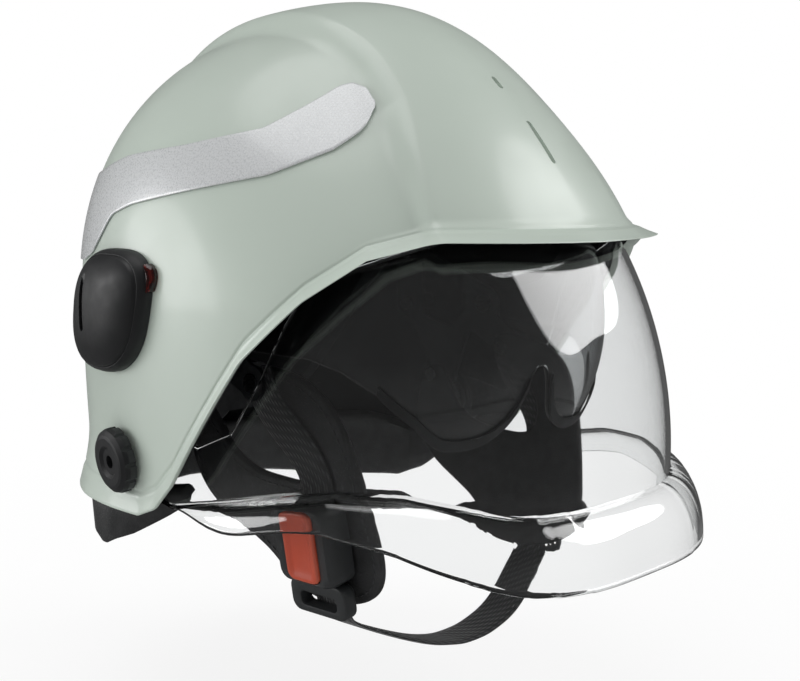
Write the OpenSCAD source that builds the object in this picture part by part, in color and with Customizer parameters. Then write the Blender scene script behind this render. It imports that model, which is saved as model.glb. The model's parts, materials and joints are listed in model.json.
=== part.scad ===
// Heat-resistant rescue helmet, modelled as its separate pieces.
// Origin: centre of the head cavity. +Z up, the face looks along -Y, the wearer's left is +X.
// Right-hand pieces are drawn first and the left-hand ones are their mirror images.

/* [Shell] */
// Half of the shell's width at ear height
shell_half_w = 126; // [124:0.5:129]
// Reach of the shell in front of the centre
shell_front = 138; // [136:0.5:142]
// Reach of the shell behind the centre
shell_rear = 143; // [141:0.5:147]
// Height of the crown above the centre, without the crest
shell_top = 134; // [132:0.5:138]
// Wall of the moulded shell
shell_wall = 3.5; // [3:0.25:4]
// Rise of the crest above the crown
crest_rise = 6.5; // [4:0.5:8]
// Height of the brim's edge over the face
brim_z = 29; // [28:0.5:32]
// Depth of the shell's edge at the nape, below the centre
nape_drop = 93; // [92:0.5:98]

/* [Face shield] */
// Distance of the hinge line behind the centre
hinge_back = 31; // [29:0.5:33]
// Distance of the hinge line below the centre
hinge_drop = 70; // [68:0.5:72]
// Thickness of the shield
shield_t = 2.5; // [2:0.25:3]
// Drop of the turned-out lip at the nose, below its crease
lip_drop = 30; // [26:1:32]
// Drop of the turned-out lip at the cheeks
lip_side_drop = 13; // [8:1:16]
// Reach of the turned-out lip beyond the shield
lip_out = 16; // [12:0.5:17]
// Angle that the shield rises by
shield_lift = 34; // [30:1:34]
// Radius of the hinge spigot
spigot_r = 4; // [3.5:0.25:5]

/* [Inner visor] */
// Thickness of the inner visor
visor_t = 2.2; // [1.8:0.1:2.4]
// Angle that the inner visor rises by
visor_lift = 54; // [48:1:54]
// Radius of the inner visor's pins
visor_pin_r = 3; // [2.5:0.25:3.5]

/* [Liner and headband] */
// Thickness of the foam in front of the head
liner_front_t = 11; // [10:0.5:12]
// Thickness of the foam beside the head
liner_side_t = 15; // [14:0.5:17]
// Thickness of the foam over the head
liner_top_t = 9; // [8:0.5:11]

/* [Covers] */
// Length of a side cover
cover_len = 64; // [58:1:66]
// Height of a side cover
cover_h = 56; // [50:1:58]
// Rise of a side cover from the shell
cover_rise = 14; // [10:0.5:16]
// Radius of the round hinge caps
cap_r = 15; // [13:0.5:16]
// Height of the round hinge caps
cap_h = 7; // [6:0.5:9]
// Radius of the accessory bore in each hinge cap
cap_bore_r = 3; // [2:0.25:4]
// Depth of the accessory bore in each hinge cap
cap_bore_d = 5; // [3:0.5:5.5]

/* [Harness] */
// Width of the harness webbing
web_w = 20; // [16:1:22]
// Thickness of the harness webbing
web_t = 1.8; // [1.4:0.1:2]
// Thickness of the leather yokes
yoke_t = 4; // [3:0.25:4.5]
// Width of the buckle's push button
button_w = 19; // [16:0.5:20]
// Height of the buckle's push button
button_h = 33; // [28:1:34]
// Travel of the buckle's push button
button_travel = 2.5; // [2:0.25:3]

/* [Ratchet] */
// Number of teeth on the pinion
pinion_teeth = 12; // [12:1:14]
// Module of the pinion and the racks
gear_module = 1; // [1:0.05:1.1]
// Radius of the adjusting knob
knob_r = 21; // [17:0.5:22]
// Thickness of the adjusting knob
knob_t = 9; // [7:0.5:10]

/* [Hidden] */

SHELL = "#b6c2b8";
BLACK = "#1d1f20";
DARK = "#2c2d2e";
SILVER = "#c9ccce";
CLEAR = [0.85, 0.92, 0.93, 0.35];
TINT = [0.45, 0.47, 0.48, 0.6];
RED = "#9c2f22";
ORANGE = "#a8452f";
STEEL = "#9fa3a5";

$fn = 64;
seat = 0.3;
run = 0.05;

// The shield runs inside the shell's edge, and the inner visor and the side frames inside the shield
shield_half_w = shell_half_w - 13.5;
shield_reach = shell_front + hinge_back + 16;
visor_half_w = shield_half_w - 14.3;
visor_reach = shield_reach - 78.6;
frame_in = visor_half_w - 4.8;
yoke_x = frame_in - 2.5;
// The liner leaves room in front for both visors, and the head cavity lies inside it
liner_half_w = shell_half_w - 31;
liner_front = shell_front - 34;
liner_top = shell_top - 41;
head_half_w = liner_half_w - liner_side_t;
head_front = liner_front - liner_front_t;
head_rear = shell_rear - 41;
head_top = liner_top - liner_top_t;
// Cutting tools reach from inside the frames to outside the shell
far_x = shell_half_w + 20;
near_x = frame_in - 6;

// Exponents of the shell's plan, of its brow, its crown and its skirt
plan_n = 2.16;
brow_n = 1.55;
crown_n = 2.2;
skirt_n = 2.2;
skirt_depth = 340;
// Share of the drop from brim to nape that the shell's edge has reached, by angle from the front
RIM = [[0, 0], [20, -0.004], [33, -0.008], [45, 0.05], [56, 0.185], [68, 0.39],
       [78, 0.64], [87, 0.86], [93, 0.96], [99, 1], [180, 1]];
// How far the edge turns out, and over what height, by angle from the front
LIP_OUT = [[0, 3.5], [20, 4.5], [35, 5.5], [55, 5], [70, 3], [84, 2], [98, 3], [110, 7], [122, 10.5], [150, 11.5],
           [180, 11]];
LIP_RUN = [[0, 9], [60, 7], [100, 10], [120, 30], [180, 36]];
// Half width of the crest's raised top, by angle over the head from the front
CREST_W = [[0, 74], [14, 70], [25, 64.5], [38, 57], [50, 49], [63, 45], [76, 43],
           [90, 41], [110, 38], [135, 34], [160, 30], [180, 27]];
// Width of the sloping facet beside the crest, and its share of the full rise
CREST_RAMP = [[0, 4], [16, 5], [35, 11], [48, 14], [62, 13], [90, 14], [135, 16], [180, 16]];
CREST_H = [[0, 0.7], [20, 0.75], [60, 0.9], [90, 1], [120, 0.9], [150, 0.55], [168, 0.1], [180, 0]];
keel_rise = 1.5;

// Small helpers
function sm(a, b, v) = let (t = min(1, max(0, (v - a) / (b - a)))) t * t * (3 - 2 * t);
function mixed(a, b, t) = a + (b - a) * t;
function pw(v, e) = pow(abs(v), e);
function dir(phi, psi) = [sin(psi) * sin(phi), -sin(psi) * cos(phi), cos(psi)];
function fold(phi) = abs(phi) > 180 ? 360 - abs(phi) : abs(phi);

// Closed skin over a list of rings of equal length. The rings run clockwise as seen
// from the far end, and the ends are closed by fans.
module skin(rings, loop = false) {
  n = len(rings);
  m = len(rings[0]);
  points = [for (r = rings) each r];
  last = loop ? n - 1 : n - 2;
  sides = [for (i = [0:last], j = [0:m - 1])
    let (a = i * m + j, b = i * m + (j + 1) % m, c = ((i + 1) % n) * m + j, d = ((i + 1) % n) * m + (j + 1) % m)
      each [[a, b, d], [a, d, c]]];
  first_cap = [for (j = [1:m - 2]) [0, j + 1, j]];
  last_cap = [for (j = [1:m - 2]) let (k = (n - 1) * m) [k, k + j, k + j + 1]];
  polyhedron(points = points, faces = loop ? sides : concat(sides, first_cap, last_cap), convexity = 8);
}

// A bowl between an outer and an inner surface. outer and inner hold one list per column,
// from the pole to the rim, and the columns run once round the bowl.
module bowl(outer, inner, top_out, top_in) {
  n = len(outer);
  profile = [for (i = [0:n - 1]) concat(outer[i], [for (k = [len(inner[i]) - 1:-1:0]) inner[i][k]])];
  m = len(profile[0]);
  points = concat([for (p = profile) each p], [top_out, top_in]);
  sides = [for (i = [0:n - 1], j = [0:m - 2])
    let (a = i * m + j, b = i * m + j + 1, c = ((i + 1) % n) * m + j, d = ((i + 1) % n) * m + j + 1)
      each [[a, d, b], [a, c, d]]];
  poles = [for (i = [0:n - 1])
    let (a = i * m, c = ((i + 1) % n) * m)
      each [[n * m, c, a], [n * m + 1, a + m - 1, c + m - 1]]];
  polyhedron(points = points, faces = concat(sides, poles), convexity = 8);
}

// Plate with rounded corners, centred, exact
module round_plate(w, h, t, r) {
  linear_extrude(t) union() {
    square([w - 2 * r, h], center = true);
    square([w, h - 2 * r], center = true);
    for (x = [-1, 1], y = [-1, 1]) translate([x * (w / 2 - r), y * (h / 2 - r)]) circle(r);
  }
}

// Extrudes a side outline, given as [y, z] points, along X from x0 to x1
module side_extrude(x0, x1) {
  translate([x0, 0, 0]) rotate([90, 0, 90]) linear_extrude(x1 - x0) children();
}

// A drum about the X axis through [y, z], from x0 to x1
module drum(y, z, x0, x1, r) {
  translate([x0, y, z]) rotate([0, 90, 0]) cylinder(r = r, h = x1 - x0);
}

// Shell surface
function shell_r(u) =
  let (a = u.y < 0 ? shell_front : shell_rear,
       c = u.z > 0 ? shell_top : skirt_depth,
       n = u.z > 0 ? mixed(brow_n, crown_n, sm(-0.75, 0.45, u.y)) : skirt_n,
       h = pw(u.x / shell_half_w, plan_n) + pw(u.y / a, plan_n))
    pow(pow(h, n / plan_n) + pw(u.z / c, n), -1 / n);
function crest_at(p) =
  let (al = p.y > 0 && p.z < 0 ? 180 : atan2(p.z, -p.y), x = abs(p.x), w = lookup(al, CREST_W),
       s = lookup(al, CREST_RAMP))
    crest_rise * lookup(al, CREST_H) * (1 - sm(w, w + s, x))
    + keel_rise * max(0, 1 - x / w) * (1 - sm(50, 75, al));
function rim_z(phi) = mixed(brim_z, -nape_drop, lookup(fold(phi), RIM));
function lip_at(phi, z) =
  let (f = fold(phi), t = max(0, 1 - (z - rim_z(phi)) / lookup(f, LIP_RUN)))
    lookup(f, LIP_OUT) * t * t;
// Point of the shell in the direction phi, psi, moved out by off
function shell_pt(phi, psi, off = 0) =
  let (u = dir(phi, psi), r = shell_r(u), p = u * r)
    u * (r + crest_at(p) + lip_at(phi, p.z) + off);
// Polar angle at which the surface, moved out by off, is at height z
function psi_at(phi, z, off = 0, lo = 1, hi = 150, k = 16) =
  let (mid = (lo + hi) / 2)
    k == 0 ? mid : shell_pt(phi, mid, off).z > z ? psi_at(phi, z, off, mid, hi, k - 1) : psi_at(phi, z, off, lo, mid, k - 1);
// Half width of the plain shell at a point [y, z] of its side
function side_x(y, z) =
  let (a = y < 0 ? shell_front : shell_rear, c = z > 0 ? shell_top : skirt_depth,
       r = sqrt(shell_half_w * shell_half_w + y * y + z * z),
       n = z > 0 ? mixed(brow_n, crown_n, sm(-0.75, 0.45, y / r)) : skirt_n)
    shell_half_w * pow(max(0, pow(1 - pw(z / c, n), plan_n / n) - pw(y / a, plan_n)), 1 / plan_n);

// Columns of the shell over its left half, closer together where the crest's edges run
HALF_PHIS = concat([for (f = [0:4:64]) f], [70, 77, 84, 91, 98, 105, 112, 119, 126, 133, 140],
                   [for (f = [146:4.25:178]) f]);
SHELL_PHIS = concat([for (k = [len(HALF_PHIS) - 1:-1:1]) -HALF_PHIS[k]], HALF_PHIS, [180]);
OUTER_ROWS = [0.045, 0.09, 0.13, 0.16, 0.19, 0.22, 0.255, 0.3, 0.35, 0.4, 0.45, 0.5, 0.55, 0.6, 0.65,
              0.7, 0.75, 0.8, 0.85, 0.89, 0.92, 0.945, 0.965, 0.982, 0.993, 1];
INNER_ROWS = [0.11, 0.22, 0.33, 0.44, 0.55, 0.66, 0.77, 0.86, 0.92, 0.95, 0.975, 1];

// Narrow accessory slots on the crest's centre line: angle above the horizon and length
SLOTS = [[49, 8], [33, 24]];
slot_w = 3;
slot_depth = 2.2;
// Slot of the given length, sunk into a surface at height top
module slot_cut(len, top) {
  translate([0, 0, top - slot_depth]) linear_extrude(20) union() {
    square([slot_w, len - slot_w], center = true);
    for (s = [-1, 1]) translate([0, s * (len - slot_w) / 2]) circle(slot_w / 2);
  }
}
function centre_reach(al) = norm(shell_pt(0, 90 - al));

module outer_shell() {
  phis = SHELL_PHIS;
  outer = [for (f = phis) let (e = psi_at(f, rim_z(f))) [for (s = OUTER_ROWS) shell_pt(f, e * s)]];
  inner = [for (f = phis) let (e = psi_at(f, rim_z(f), -shell_wall)) [for (s = INNER_ROWS) shell_pt(f, e * s, -shell_wall)]];
  color(SHELL) difference() {
    bowl(outer, inner, [0, 0, shell_top + crest_rise], [0, 0, shell_top + crest_rise - shell_wall]);
    for (s = SLOTS)
      rotate([90 - s[0], 0, 0]) slot_cut(s[1], centre_reach(s[0]));
    for (m = [0, 1]) mirror([m, 0, 0]) {
      drum(hinge_back, -hinge_drop, -far_x, -near_x, bush_r + run);
      for (p = frame_post) drum(p.x, p.y, -far_x, -near_x, screw_r + run);
    }
  }
}

// Rubber seal under the shell's edge, from one ear over the brow to the other
seal_t = 1.6;
seal_h = 9;
seal_from = 84;
seat_gap = 0.45;
module rim_seal() {
  o = -shell_wall - seat_gap;
  color(BLACK) skin([for (f = SHELL_PHIS) if (f < seal_from && -f < seal_from)
    let (a = psi_at(f, rim_z(f) + 0.6, o), b = psi_at(f, rim_z(f) + seal_h, o))
      concat([for (t = [0, 0.2, 0.45, 0.7, 1]) shell_pt(f, mixed(a, b, t), o)],
             [for (t = [1, 0.7, 0.45, 0.2, 0]) shell_pt(f, mixed(a, b, t), o - seal_t)])]);
}

// Reflective side bands, by angle from the front: lower and upper edge heights
BAND_LOW = [[42, 86], [44, 79], [46, 75], [52, 67.5], [66, 57], [85, 50.5], [102, 44.5], [109, 40],
            [113, 30], [117, 22], [124, 18], [150, 17], [160, 20], [165, 30]];
BAND_HIGH = [[42, 88], [44, 94], [48, 96.5], [52, 95], [60, 86.5], [70, 76.5], [90, 70], [110, 66],
             [124, 60], [150, 55], [160, 52], [165, 42]];
BAND_STEPS = [42, 43, 44, 46, 48, 50, 52, 56, 60, 64, 70, 77, 84, 91, 98, 105, 109, 112, 115, 119, 126, 133,
              140, 146, 150.25, 154.5, 158.75, 161, 163, 165];
band_t = 0.8;
module reflector_right() {
  color(SILVER) skin([for (f = BAND_STEPS)
    let (lo = lookup(f, BAND_LOW), hi = lookup(f, BAND_HIGH), i = seat + 0.5 * (1 - sm(46, 56, f)), o = i + band_t)
      concat([for (t = [0:0.2:1]) shell_pt(-f, psi_at(-f, mixed(lo, hi, t), i), i)],
             [for (t = [1:-0.2:0]) shell_pt(-f, psi_at(-f, mixed(lo, hi, t), i), o)])]);
}

// Side covers: a dome on a slanted rounded outline. rho runs from the middle to the edge.
cover_y = 36;
cover_z = -3;
cover_slant = 0.28;
cover_n = 2.7;
function cover_yz(rho, th) =
  let (c = cos(th), s = sin(th), q = pow(pw(c, cover_n) + pw(s, cover_n), -1 / cover_n),
       z = rho * q * s * cover_h / 2)
    [cover_y + rho * q * c * cover_len / 2 - cover_slant * z, cover_z + z];
function cover_pt(rho, th, off) = let (p = cover_yz(rho, th)) [-side_x(p.x, p.y) - off, p.x, p.y];
function cover_h_at(rho) = 2 + (cover_rise - 2) * pow(max(0, 1 - pow(rho, 2.6)), 0.55);
module side_cover_right() {
  top = [0.25, 0.5, 0.68, 0.8, 0.88, 0.94, 0.98, 1];
  low = [0.5, 1];
  ths = [for (i = [0:39]) -i * 9];
  color(BLACK) difference() {
    bowl([for (a = ths) [for (s = top) cover_pt(s, a, cover_h_at(s))]],
         [for (a = ths) [for (s = low) cover_pt(s, a, seat)]],
         cover_pt(0, 0, cover_rise), cover_pt(0, 0, seat));
    translate([-side_x(cover_y, cover_z) - cover_rise + rail_d, cover_y + rail_y, cover_z + 4])
      rotate([0, -90, 0]) round_plate(rail_h, rail_w, 10, rail_w / 2 - 0.01);
  }
}
// Accessory rail slot in each side cover
rail_h = 26;
rail_w = 4;
rail_d = 4;
rail_y = 6;

// Red signal lens along the upper front edge of each side cover
lens_from = 136;
lens_to = 160;
module signal_lens_right() {
  color(RED) skin([for (a = [lens_from:4:lens_to])
    let (e = 0.06 * sin((a - lens_from) * 180 / (lens_to - lens_from)) + 0.03)
      [cover_pt(1.015, a, seat), cover_pt(1.015, a, 4.2), cover_pt(1.015 + e, a, 2.6), cover_pt(1.015 + e, a, seat)]]);
}

// Round cap over each hinge, square to the shell's side
cap_yaw = 9;
cap_pitch = 7;
module on_cap() {
  translate([-side_x(hinge_back, -hinge_drop) - 1.7, hinge_back, -hinge_drop])
    rotate([0, -cap_pitch, -cap_yaw]) rotate([0, -90, 0]) children();
}
module hinge_cap_right() {
  color(BLACK) on_cap() difference() {
    rotate_extrude($fn = 96) polygon([
      [0, 0], [cap_r, 0], [cap_r, cap_h * 0.45], [cap_r - 0.8, cap_h * 0.75], [cap_r - 2.6, cap_h * 0.95],
      [cap_r - 4, cap_h], [cap_bore_r + 4.5, cap_h], [cap_bore_r + 3, cap_h - 1.2], [0, cap_h - 1.2]]);
    translate([0, 0, cap_h - 1.2 - cap_bore_d]) cylinder(r = cap_bore_r, h = cap_bore_d + 5);
    for (a = [0:30:330]) rotate([0, 0, a]) translate([cap_r + 0.6, 0, -1]) cylinder(r = 1.4, h = cap_h + 2, $fn = 24);
  }
}

// Hinge of the face shield: bush in the shell, spigot through the hub, clip behind it
bush_r = 6;
hub_r = 16;
hub_out = shield_half_w + 0.3;
hub_in = shield_half_w - 3.2;
bush_flange_r = 11;
clip_r = 9;
module hinge_bush_right() {
  flange_x = side_x(hinge_back, -hinge_drop) - shell_wall - 2.1;
  color(STEEL) difference() {
    union() {
      drum(hinge_back, -hinge_drop, -side_x(hinge_back, -hinge_drop) + 0.6, -hub_out - seat, bush_r);
      drum(hinge_back, -hinge_drop, -flange_x, -hub_out - seat, bush_flange_r);
      drum(hinge_back, -hinge_drop, -hub_out - seat - 0.1, -hub_in + 2.6, spigot_r);
    }
    drum(hinge_back, -hinge_drop, -side_x(hinge_back, -hinge_drop) - 1, -hub_out, 1.6);
  }
}
module hinge_clip_right() {
  color(STEEL) difference() {
    drum(hinge_back, -hinge_drop, -hub_in + seat, -hub_in + 1.9, clip_r);
    drum(hinge_back, -hinge_drop, -hub_in, -hub_in + 3, spigot_r + run);
  }
}

// Face shield: a surface turned about its hinge line, cut to its side outline
shield_n = 3.4;
function shield_rad(x, off = 0) =
  (shield_reach - off) * sqrt(max(0, 1 - pow(abs(x) / (shield_half_w - off), shield_n)));
SHIELD_X = [0, 0.1, 0.2, 0.3, 0.4, 0.5, 0.58, 0.65, 0.71, 0.77, 0.82, 0.86, 0.9, 0.93, 0.955, 0.975, 0.988, 0.996];
// Height of the crease above the lip, by distance along Y
CREASE = [[-170, -80.5], [-154, -80.5], [-142, -79], [-128, -74.5], [-110, -71], [-80, -72], [-50, -78], [-20, -84],
          [10, -89.5]];
function crease_z(y) = lookup(y, CREASE);
function crease_y(x, z, off = 0) = hinge_back - sqrt(max(1, pow(shield_rad(x, off), 2) - pow(z + hinge_drop, 2)));
module shield_skin(off) {
  translate([0, hinge_back, -hinge_drop]) rotate([0, 90, 0]) rotate_extrude($fn = 128)
    polygon(concat([[0, -(shield_half_w - off)]],
      [for (k = [len(SHIELD_X) - 1:-1:1]) let (x = SHIELD_X[k] * (shield_half_w - off)) [shield_rad(x, off), -x]],
      [for (k = [0:len(SHIELD_X) - 1]) let (x = SHIELD_X[k] * (shield_half_w - off)) [shield_rad(x, off), x]],
      [[0, shield_half_w - off]]));
}
// Side outline of the sheet above its crease, as shares of the reach from the hinge line
SHIELD_SIDE = [[-1.09, 0.62], [-0.86, 0.584], [-0.75, 0.54], [-0.503, 0.443], [-0.454, 0.351], [-0.395, 0.216],
               [-0.314, 0.0865], [-0.211, 0.043], [-0.1135, 0.065]];
module shield_outline() {
  polygon(concat(
    [for (p = SHIELD_SIDE) [hinge_back + p.x * shield_reach, -hinge_drop + p.y * shield_reach]],
    [[hinge_back - 6, -hinge_drop + hub_r - 2.5], [hinge_back, -hinge_drop], [hinge_back - 2, -hinge_drop - hub_r + 1]],
    [for (k = [len(CREASE) - 1:-1:1]) CREASE[k]],
    [[hinge_back - 1.09 * shield_reach, CREASE[0].y]]));
}
LIP_X = [-0.85, -0.8, -0.74, -0.67, -0.59, -0.5, -0.4, -0.3, -0.2, -0.1, 0,
         0.1, 0.2, 0.3, 0.4, 0.5, 0.59, 0.67, 0.74, 0.8, 0.85];
module shield_lip() {
  // Plan of the crease on each side, from the hub end round the nose to the other hub end
  rear = [for (y = [-4:-12:-76]) y];
  plan = concat(
    [for (y = rear) [-lip_side_x(y), y]],
    [for (s = LIP_X) let (x = s * shield_half_w) [x, crease_y(x, crease_z(-110))]],
    [for (k = [len(rear) - 1:-1:0]) [lip_side_x(rear[k]), rear[k]]]);
  n = len(plan);
  skin([for (k = [0:n - 1])
    let (p = plan[k],
         a = plan[max(0, k - 1)],
         b = plan[min(n - 1, k + 1)],
         t = (b - a) / norm(b - a),
         o = [t.y, -t.x],
         f = mixed(0.25, 1, sm(-4, 44, -p.y)),
         g = sm(60, 160, -p.y),
         z = crease_z(p.y),
         w = lip_out * f * mixed(0.85, 1, g),
         d = f * mixed(lip_side_drop, lip_drop, g),
         fold_d = d * mixed(0.25, 0.5, g),
         q = min(1, d / 10))
      [for (c = [[-1.3, 1], [0.5 * w - 1.9, -0.3 * fold_d - 1.5 * q], [w - 2.2, -d], [w, -d], [0.9 * w, -fold_d],
                 [0.5 * w, -0.2 * fold_d], [0.7, 1]])
        [p.x + o.x * c.x, p.y + o.y * c.x, z + c.y]]]);
}
function lip_side_x(y) =
  let (r = sqrt(pow(hinge_back - y, 2) + pow(crease_z(y) + hinge_drop, 2)))
    shield_half_w * pow(1 - pow(r / shield_reach, 2), 1 / shield_n);
module face_shield() {
  color(CLEAR) difference() {
    union() {
      intersection() {
        difference() {
          shield_skin(0);
          shield_skin(shield_t);
        }
        side_extrude(-far_x, far_x) shield_outline();
      }
      for (m = [0, 1]) mirror([m, 0, 0]) drum(hinge_back, -hinge_drop, -hub_out, -hub_in, hub_r);
      shield_lip();
    }
    for (m = [0, 1]) mirror([m, 0, 0]) drum(hinge_back, -hinge_drop, -far_x, -near_x, spigot_r + run);
  }
}

// Side frame: a plate inside each ear, on two posts from the shell. It carries the inner
// visor's pin and the top of the harness.
frame_t = 2;
frame_post = [[52, 16], [52, -14]];
post_r = 5;
screw_r = 2;
visor_y = -7;
visor_z = -10.5;
front_rivet = [-26, -33];
rear_rivet = [22, -52];
module frame_outline() {
  translate([visor_y, visor_z]) circle(10);
  for (p = frame_post) translate(p) circle(8);
  for (p = [front_rivet, rear_rivet]) translate(p) circle(8);
  polygon([[visor_y - 3, visor_z + 9.4], [frame_post[0].x, frame_post[0].y + 8], [frame_post[0].x + 8, frame_post[0].y],
           [frame_post[1].x + 8, frame_post[1].y], [frame_post[1].x, frame_post[1].y - 8], [rear_rivet.x + 7, rear_rivet.y - 3],
           [rear_rivet.x - 7, rear_rivet.y - 3], [4, -26], [front_rivet.x + 6, front_rivet.y - 5],
           [front_rivet.x - 7.5, front_rivet.y + 2], [visor_y - 8, visor_z - 6]]);
}
module side_frame_right() {
  color(BLACK) difference() {
    union() {
      side_extrude(-frame_in - frame_t, -frame_in) frame_outline();
      for (p = frame_post)
        drum(p.x, p.y, -side_x(p.x + post_r, p.y + post_r) + shell_wall + 2 * seat, -frame_in, post_r);
    }
    side_extrude(-frame_in - frame_t - 1, -frame_in + 1) polygon([[8, 6], [40, 10], [40, -20], [18, -26], [8, -16]]);
    drum(visor_y, visor_z, -far_x, -near_x, visor_pin_r + run);
    for (p = frame_post) drum(p.x, p.y, -far_x, -near_x, screw_r + 0.1);
    for (p = [front_rivet, rear_rivet]) drum(p.x, p.y, -far_x, -near_x, rivet_r + 0.1);
  }
}
module frame_screws() {
  color(STEEL) for (m = [0, 1], p = frame_post) mirror([m, 0, 0]) {
    drum(p.x, p.y, -side_x(p.x, p.y) + 0.6, -frame_in + 0.2, screw_r);
    difference() {
      drum(p.x, p.y, -frame_in + seat / 3, -frame_in + 2.2, 3.8);
      drum(p.x, p.y, -frame_in + 1.2, -frame_in + 3, 1.3);
    }
  }
}
module visor_pin_right() {
  color(STEEL) {
    drum(visor_y, visor_z, -visor_half_w - 2, -frame_in + 1.4, visor_pin_r);
    drum(visor_y, visor_z, -visor_half_w - 2, -visor_half_w - 0.3 - seat, 6);
    drum(visor_y, visor_z, -frame_in + seat / 2, -frame_in + 1.4, 5);
  }
}

// Inner visor: turned about its own hinge line, with a nose notch and rounded cheeks
visor_n = 3.6;
visor_hub_r = 9;
notch_z = -27;
lobe_z = -61;
function visor_rad(x, off = 0) =
  (visor_reach - off) * sqrt(max(0, 1 - pow(abs(x) / (visor_half_w - off), visor_n)));
module visor_skin(off) {
  translate([0, visor_y, visor_z]) rotate([0, 90, 0]) rotate_extrude($fn = 96)
    polygon(concat([[0, -(visor_half_w - off)]],
      [for (k = [len(SHIELD_X) - 1:-1:1]) let (x = SHIELD_X[k] * (visor_half_w - off)) [visor_rad(x, off), -x]],
      [for (k = [0:len(SHIELD_X) - 1]) let (x = SHIELD_X[k] * (visor_half_w - off)) [visor_rad(x, off), x]],
      [[0, visor_half_w - off]]));
}
// Side outline from its arm forward, as shares of the reach from the hinge line
VISOR_SIDE = [[-1.11, 0.437], [-0.855, 0.437], [-0.517, 0.305], [-0.348, 0.136], [-0.16, 0.08], [0, 0.08], [0, -0.08],
              [-0.16, -0.07], [-0.48, -0.089], [-0.611, -0.136], [-0.724, -0.221], [-0.808, -0.352], [-0.855, -0.559],
              [-1.11, -0.559]];
module visor_side() {
  polygon([for (p = VISOR_SIDE) [visor_y + p.x * visor_reach, visor_z + p.y * visor_reach]]);
}
// Foot of the lens over half its width: share of the half width, and share of the drop from notch to lobe
VISOR_FOOT = [[0, 0], [0.036, 0.03], [0.066, 0.15], [0.1, 0.41], [0.143, 0.68], [0.204, 0.84], [0.285, 0.96], [0.387, 1],
              [0.51, 0.97], [0.62, 0.85], [0.713, 0.65], [0.794, 0.38], [0.916, 0.12], [1.12, 0]];
module visor_front() {
  half = concat([for (p = VISOR_FOOT) [p.x * visor_half_w, mixed(notch_z, lobe_z, p.y)]], [[1.12 * visor_half_w, visor_reach]]);
  polygon(concat(half, [for (k = [len(half) - 1:-1:1]) [-half[k].x, half[k].y]]));
}
module front_extrude(y0, y1) {
  translate([0, y1, 0]) rotate([90, 0, 0]) linear_extrude(y1 - y0) children();
}
module inner_visor() {
  color(TINT) difference() {
    union() {
      intersection() {
        difference() {
          visor_skin(0);
          visor_skin(visor_t);
        }
        side_extrude(-far_x, far_x) visor_side();
        front_extrude(-shell_front, 10) visor_front();
      }
      for (m = [0, 1]) mirror([m, 0, 0]) drum(visor_y, visor_z, -visor_half_w - 0.3, -frame_in - frame_t - 0.4, visor_hub_r);
    }
    for (m = [0, 1]) mirror([m, 0, 0]) drum(visor_y, visor_z, -far_x, -near_x, visor_pin_r + run);
  }
}
edging_h = 5;
edging_t = 0.9;
module visor_edging() {
  color(BLACK) intersection() {
    difference() {
      visor_skin(-seat - edging_t);
      visor_skin(-seat);
    }
    side_extrude(-far_x, far_x) intersection() {
      visor_side();
      translate([visor_y - 1.5 * visor_reach, visor_z - visor_reach]) square([0.85 * visor_reach, visor_reach]);
    }
    front_extrude(-shell_front, 10) difference() {
      visor_front();
      translate([0, edging_h]) visor_front();
      translate([-far_x, notch_z + 4]) square([2 * far_x, far_x]);
    }
  }
}

// Impact liner and head cavity
cavity_n = 2.1;
function ball_r(u, w, f, r, t) =
  pow(pw(u.x / w, cavity_n) + pw(u.y / (u.y < 0 ? f : r), cavity_n) + pw(u.z / (u.z > 0 ? t : 230), cavity_n), -1 / cavity_n);
function cavity_r(u) = ball_r(u, head_half_w, head_front, head_rear, head_top);
// The liner fills the shell at the back and over the crown, and stays thin where the visors stow
function liner_r(u) =
  mixed(ball_r(u, liner_half_w, liner_front, liner_front + 8, liner_top), shell_r(u) - shell_wall - liner_gap,
        sm(0.24, 0.42, u.y + 0.42 * u.z));
liner_gap = 1.6;
LINER_RIM = [[0, 36], [60, 36], [95, 34], [122, 31], [140, 16], [155, -12], [170, -32], [180, -34]];
function cut_psi(phi, z, inner, lo = 1, hi = 150, k = 14) =
  let (mid = (lo + hi) / 2, u = dir(phi, mid), r = inner ? cavity_r(u) : liner_r(u))
    k == 0 ? mid : u.z * r > z ? cut_psi(phi, z, inner, mid, hi, k - 1) : cut_psi(phi, z, inner, lo, mid, k - 1);
function cavity_pt(phi, z, off) = let (u = dir(phi, cut_psi(phi, z, true))) u * (cavity_r(u) + off);
module impact_liner() {
  phis = [for (i = [0:43]) i * 360 / 44];
  outer_steps = [0.1, 0.19, 0.28, 0.37, 0.46, 0.56, 0.66, 0.76, 0.86, 0.94, 1];
  inner_steps = [0.13, 0.26, 0.39, 0.52, 0.64, 0.76, 0.88, 1];
  color(DARK) bowl(
    [for (f = phis) let (e = cut_psi(f, lookup(fold(f), LINER_RIM), false))
      [for (s = outer_steps) let (u = dir(f, e * s)) u * liner_r(u)]],
    [for (f = phis) let (e = cut_psi(f, lookup(fold(f), LINER_RIM), true))
      [for (s = inner_steps) let (u = dir(f, e * s)) u * cavity_r(u)]],
    [0, 0, liner_r([0, 0, 1])], [0, 0, head_top]);
}

// Crown net: six straps under a disc
net_w = 16;
net_t = 1.2;
net_off = 2.7;
net_disc_r = 20;
band_low = 38;
band_high = 60;
module crown_net() {
  color(DARK) {
    for (k = [0:5]) let (f = 30 + k * 60, t = [cos(f), sin(f), 0] * net_w / 2,
                         e = cut_psi(f, band_high + 1, true))
      skin([for (s = [0:7]) let (u = dir(f, mixed(11, e, s / 7)), o = u * (cavity_r(u) - net_off), i = u * (cavity_r(u) - net_off - net_t))
        [o - t, o + t, i + t, i - t]]);
    translate([0, 0, head_top - net_off - 3.6]) cylinder(r = net_disc_r, h = 2.2);
  }
}

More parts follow.
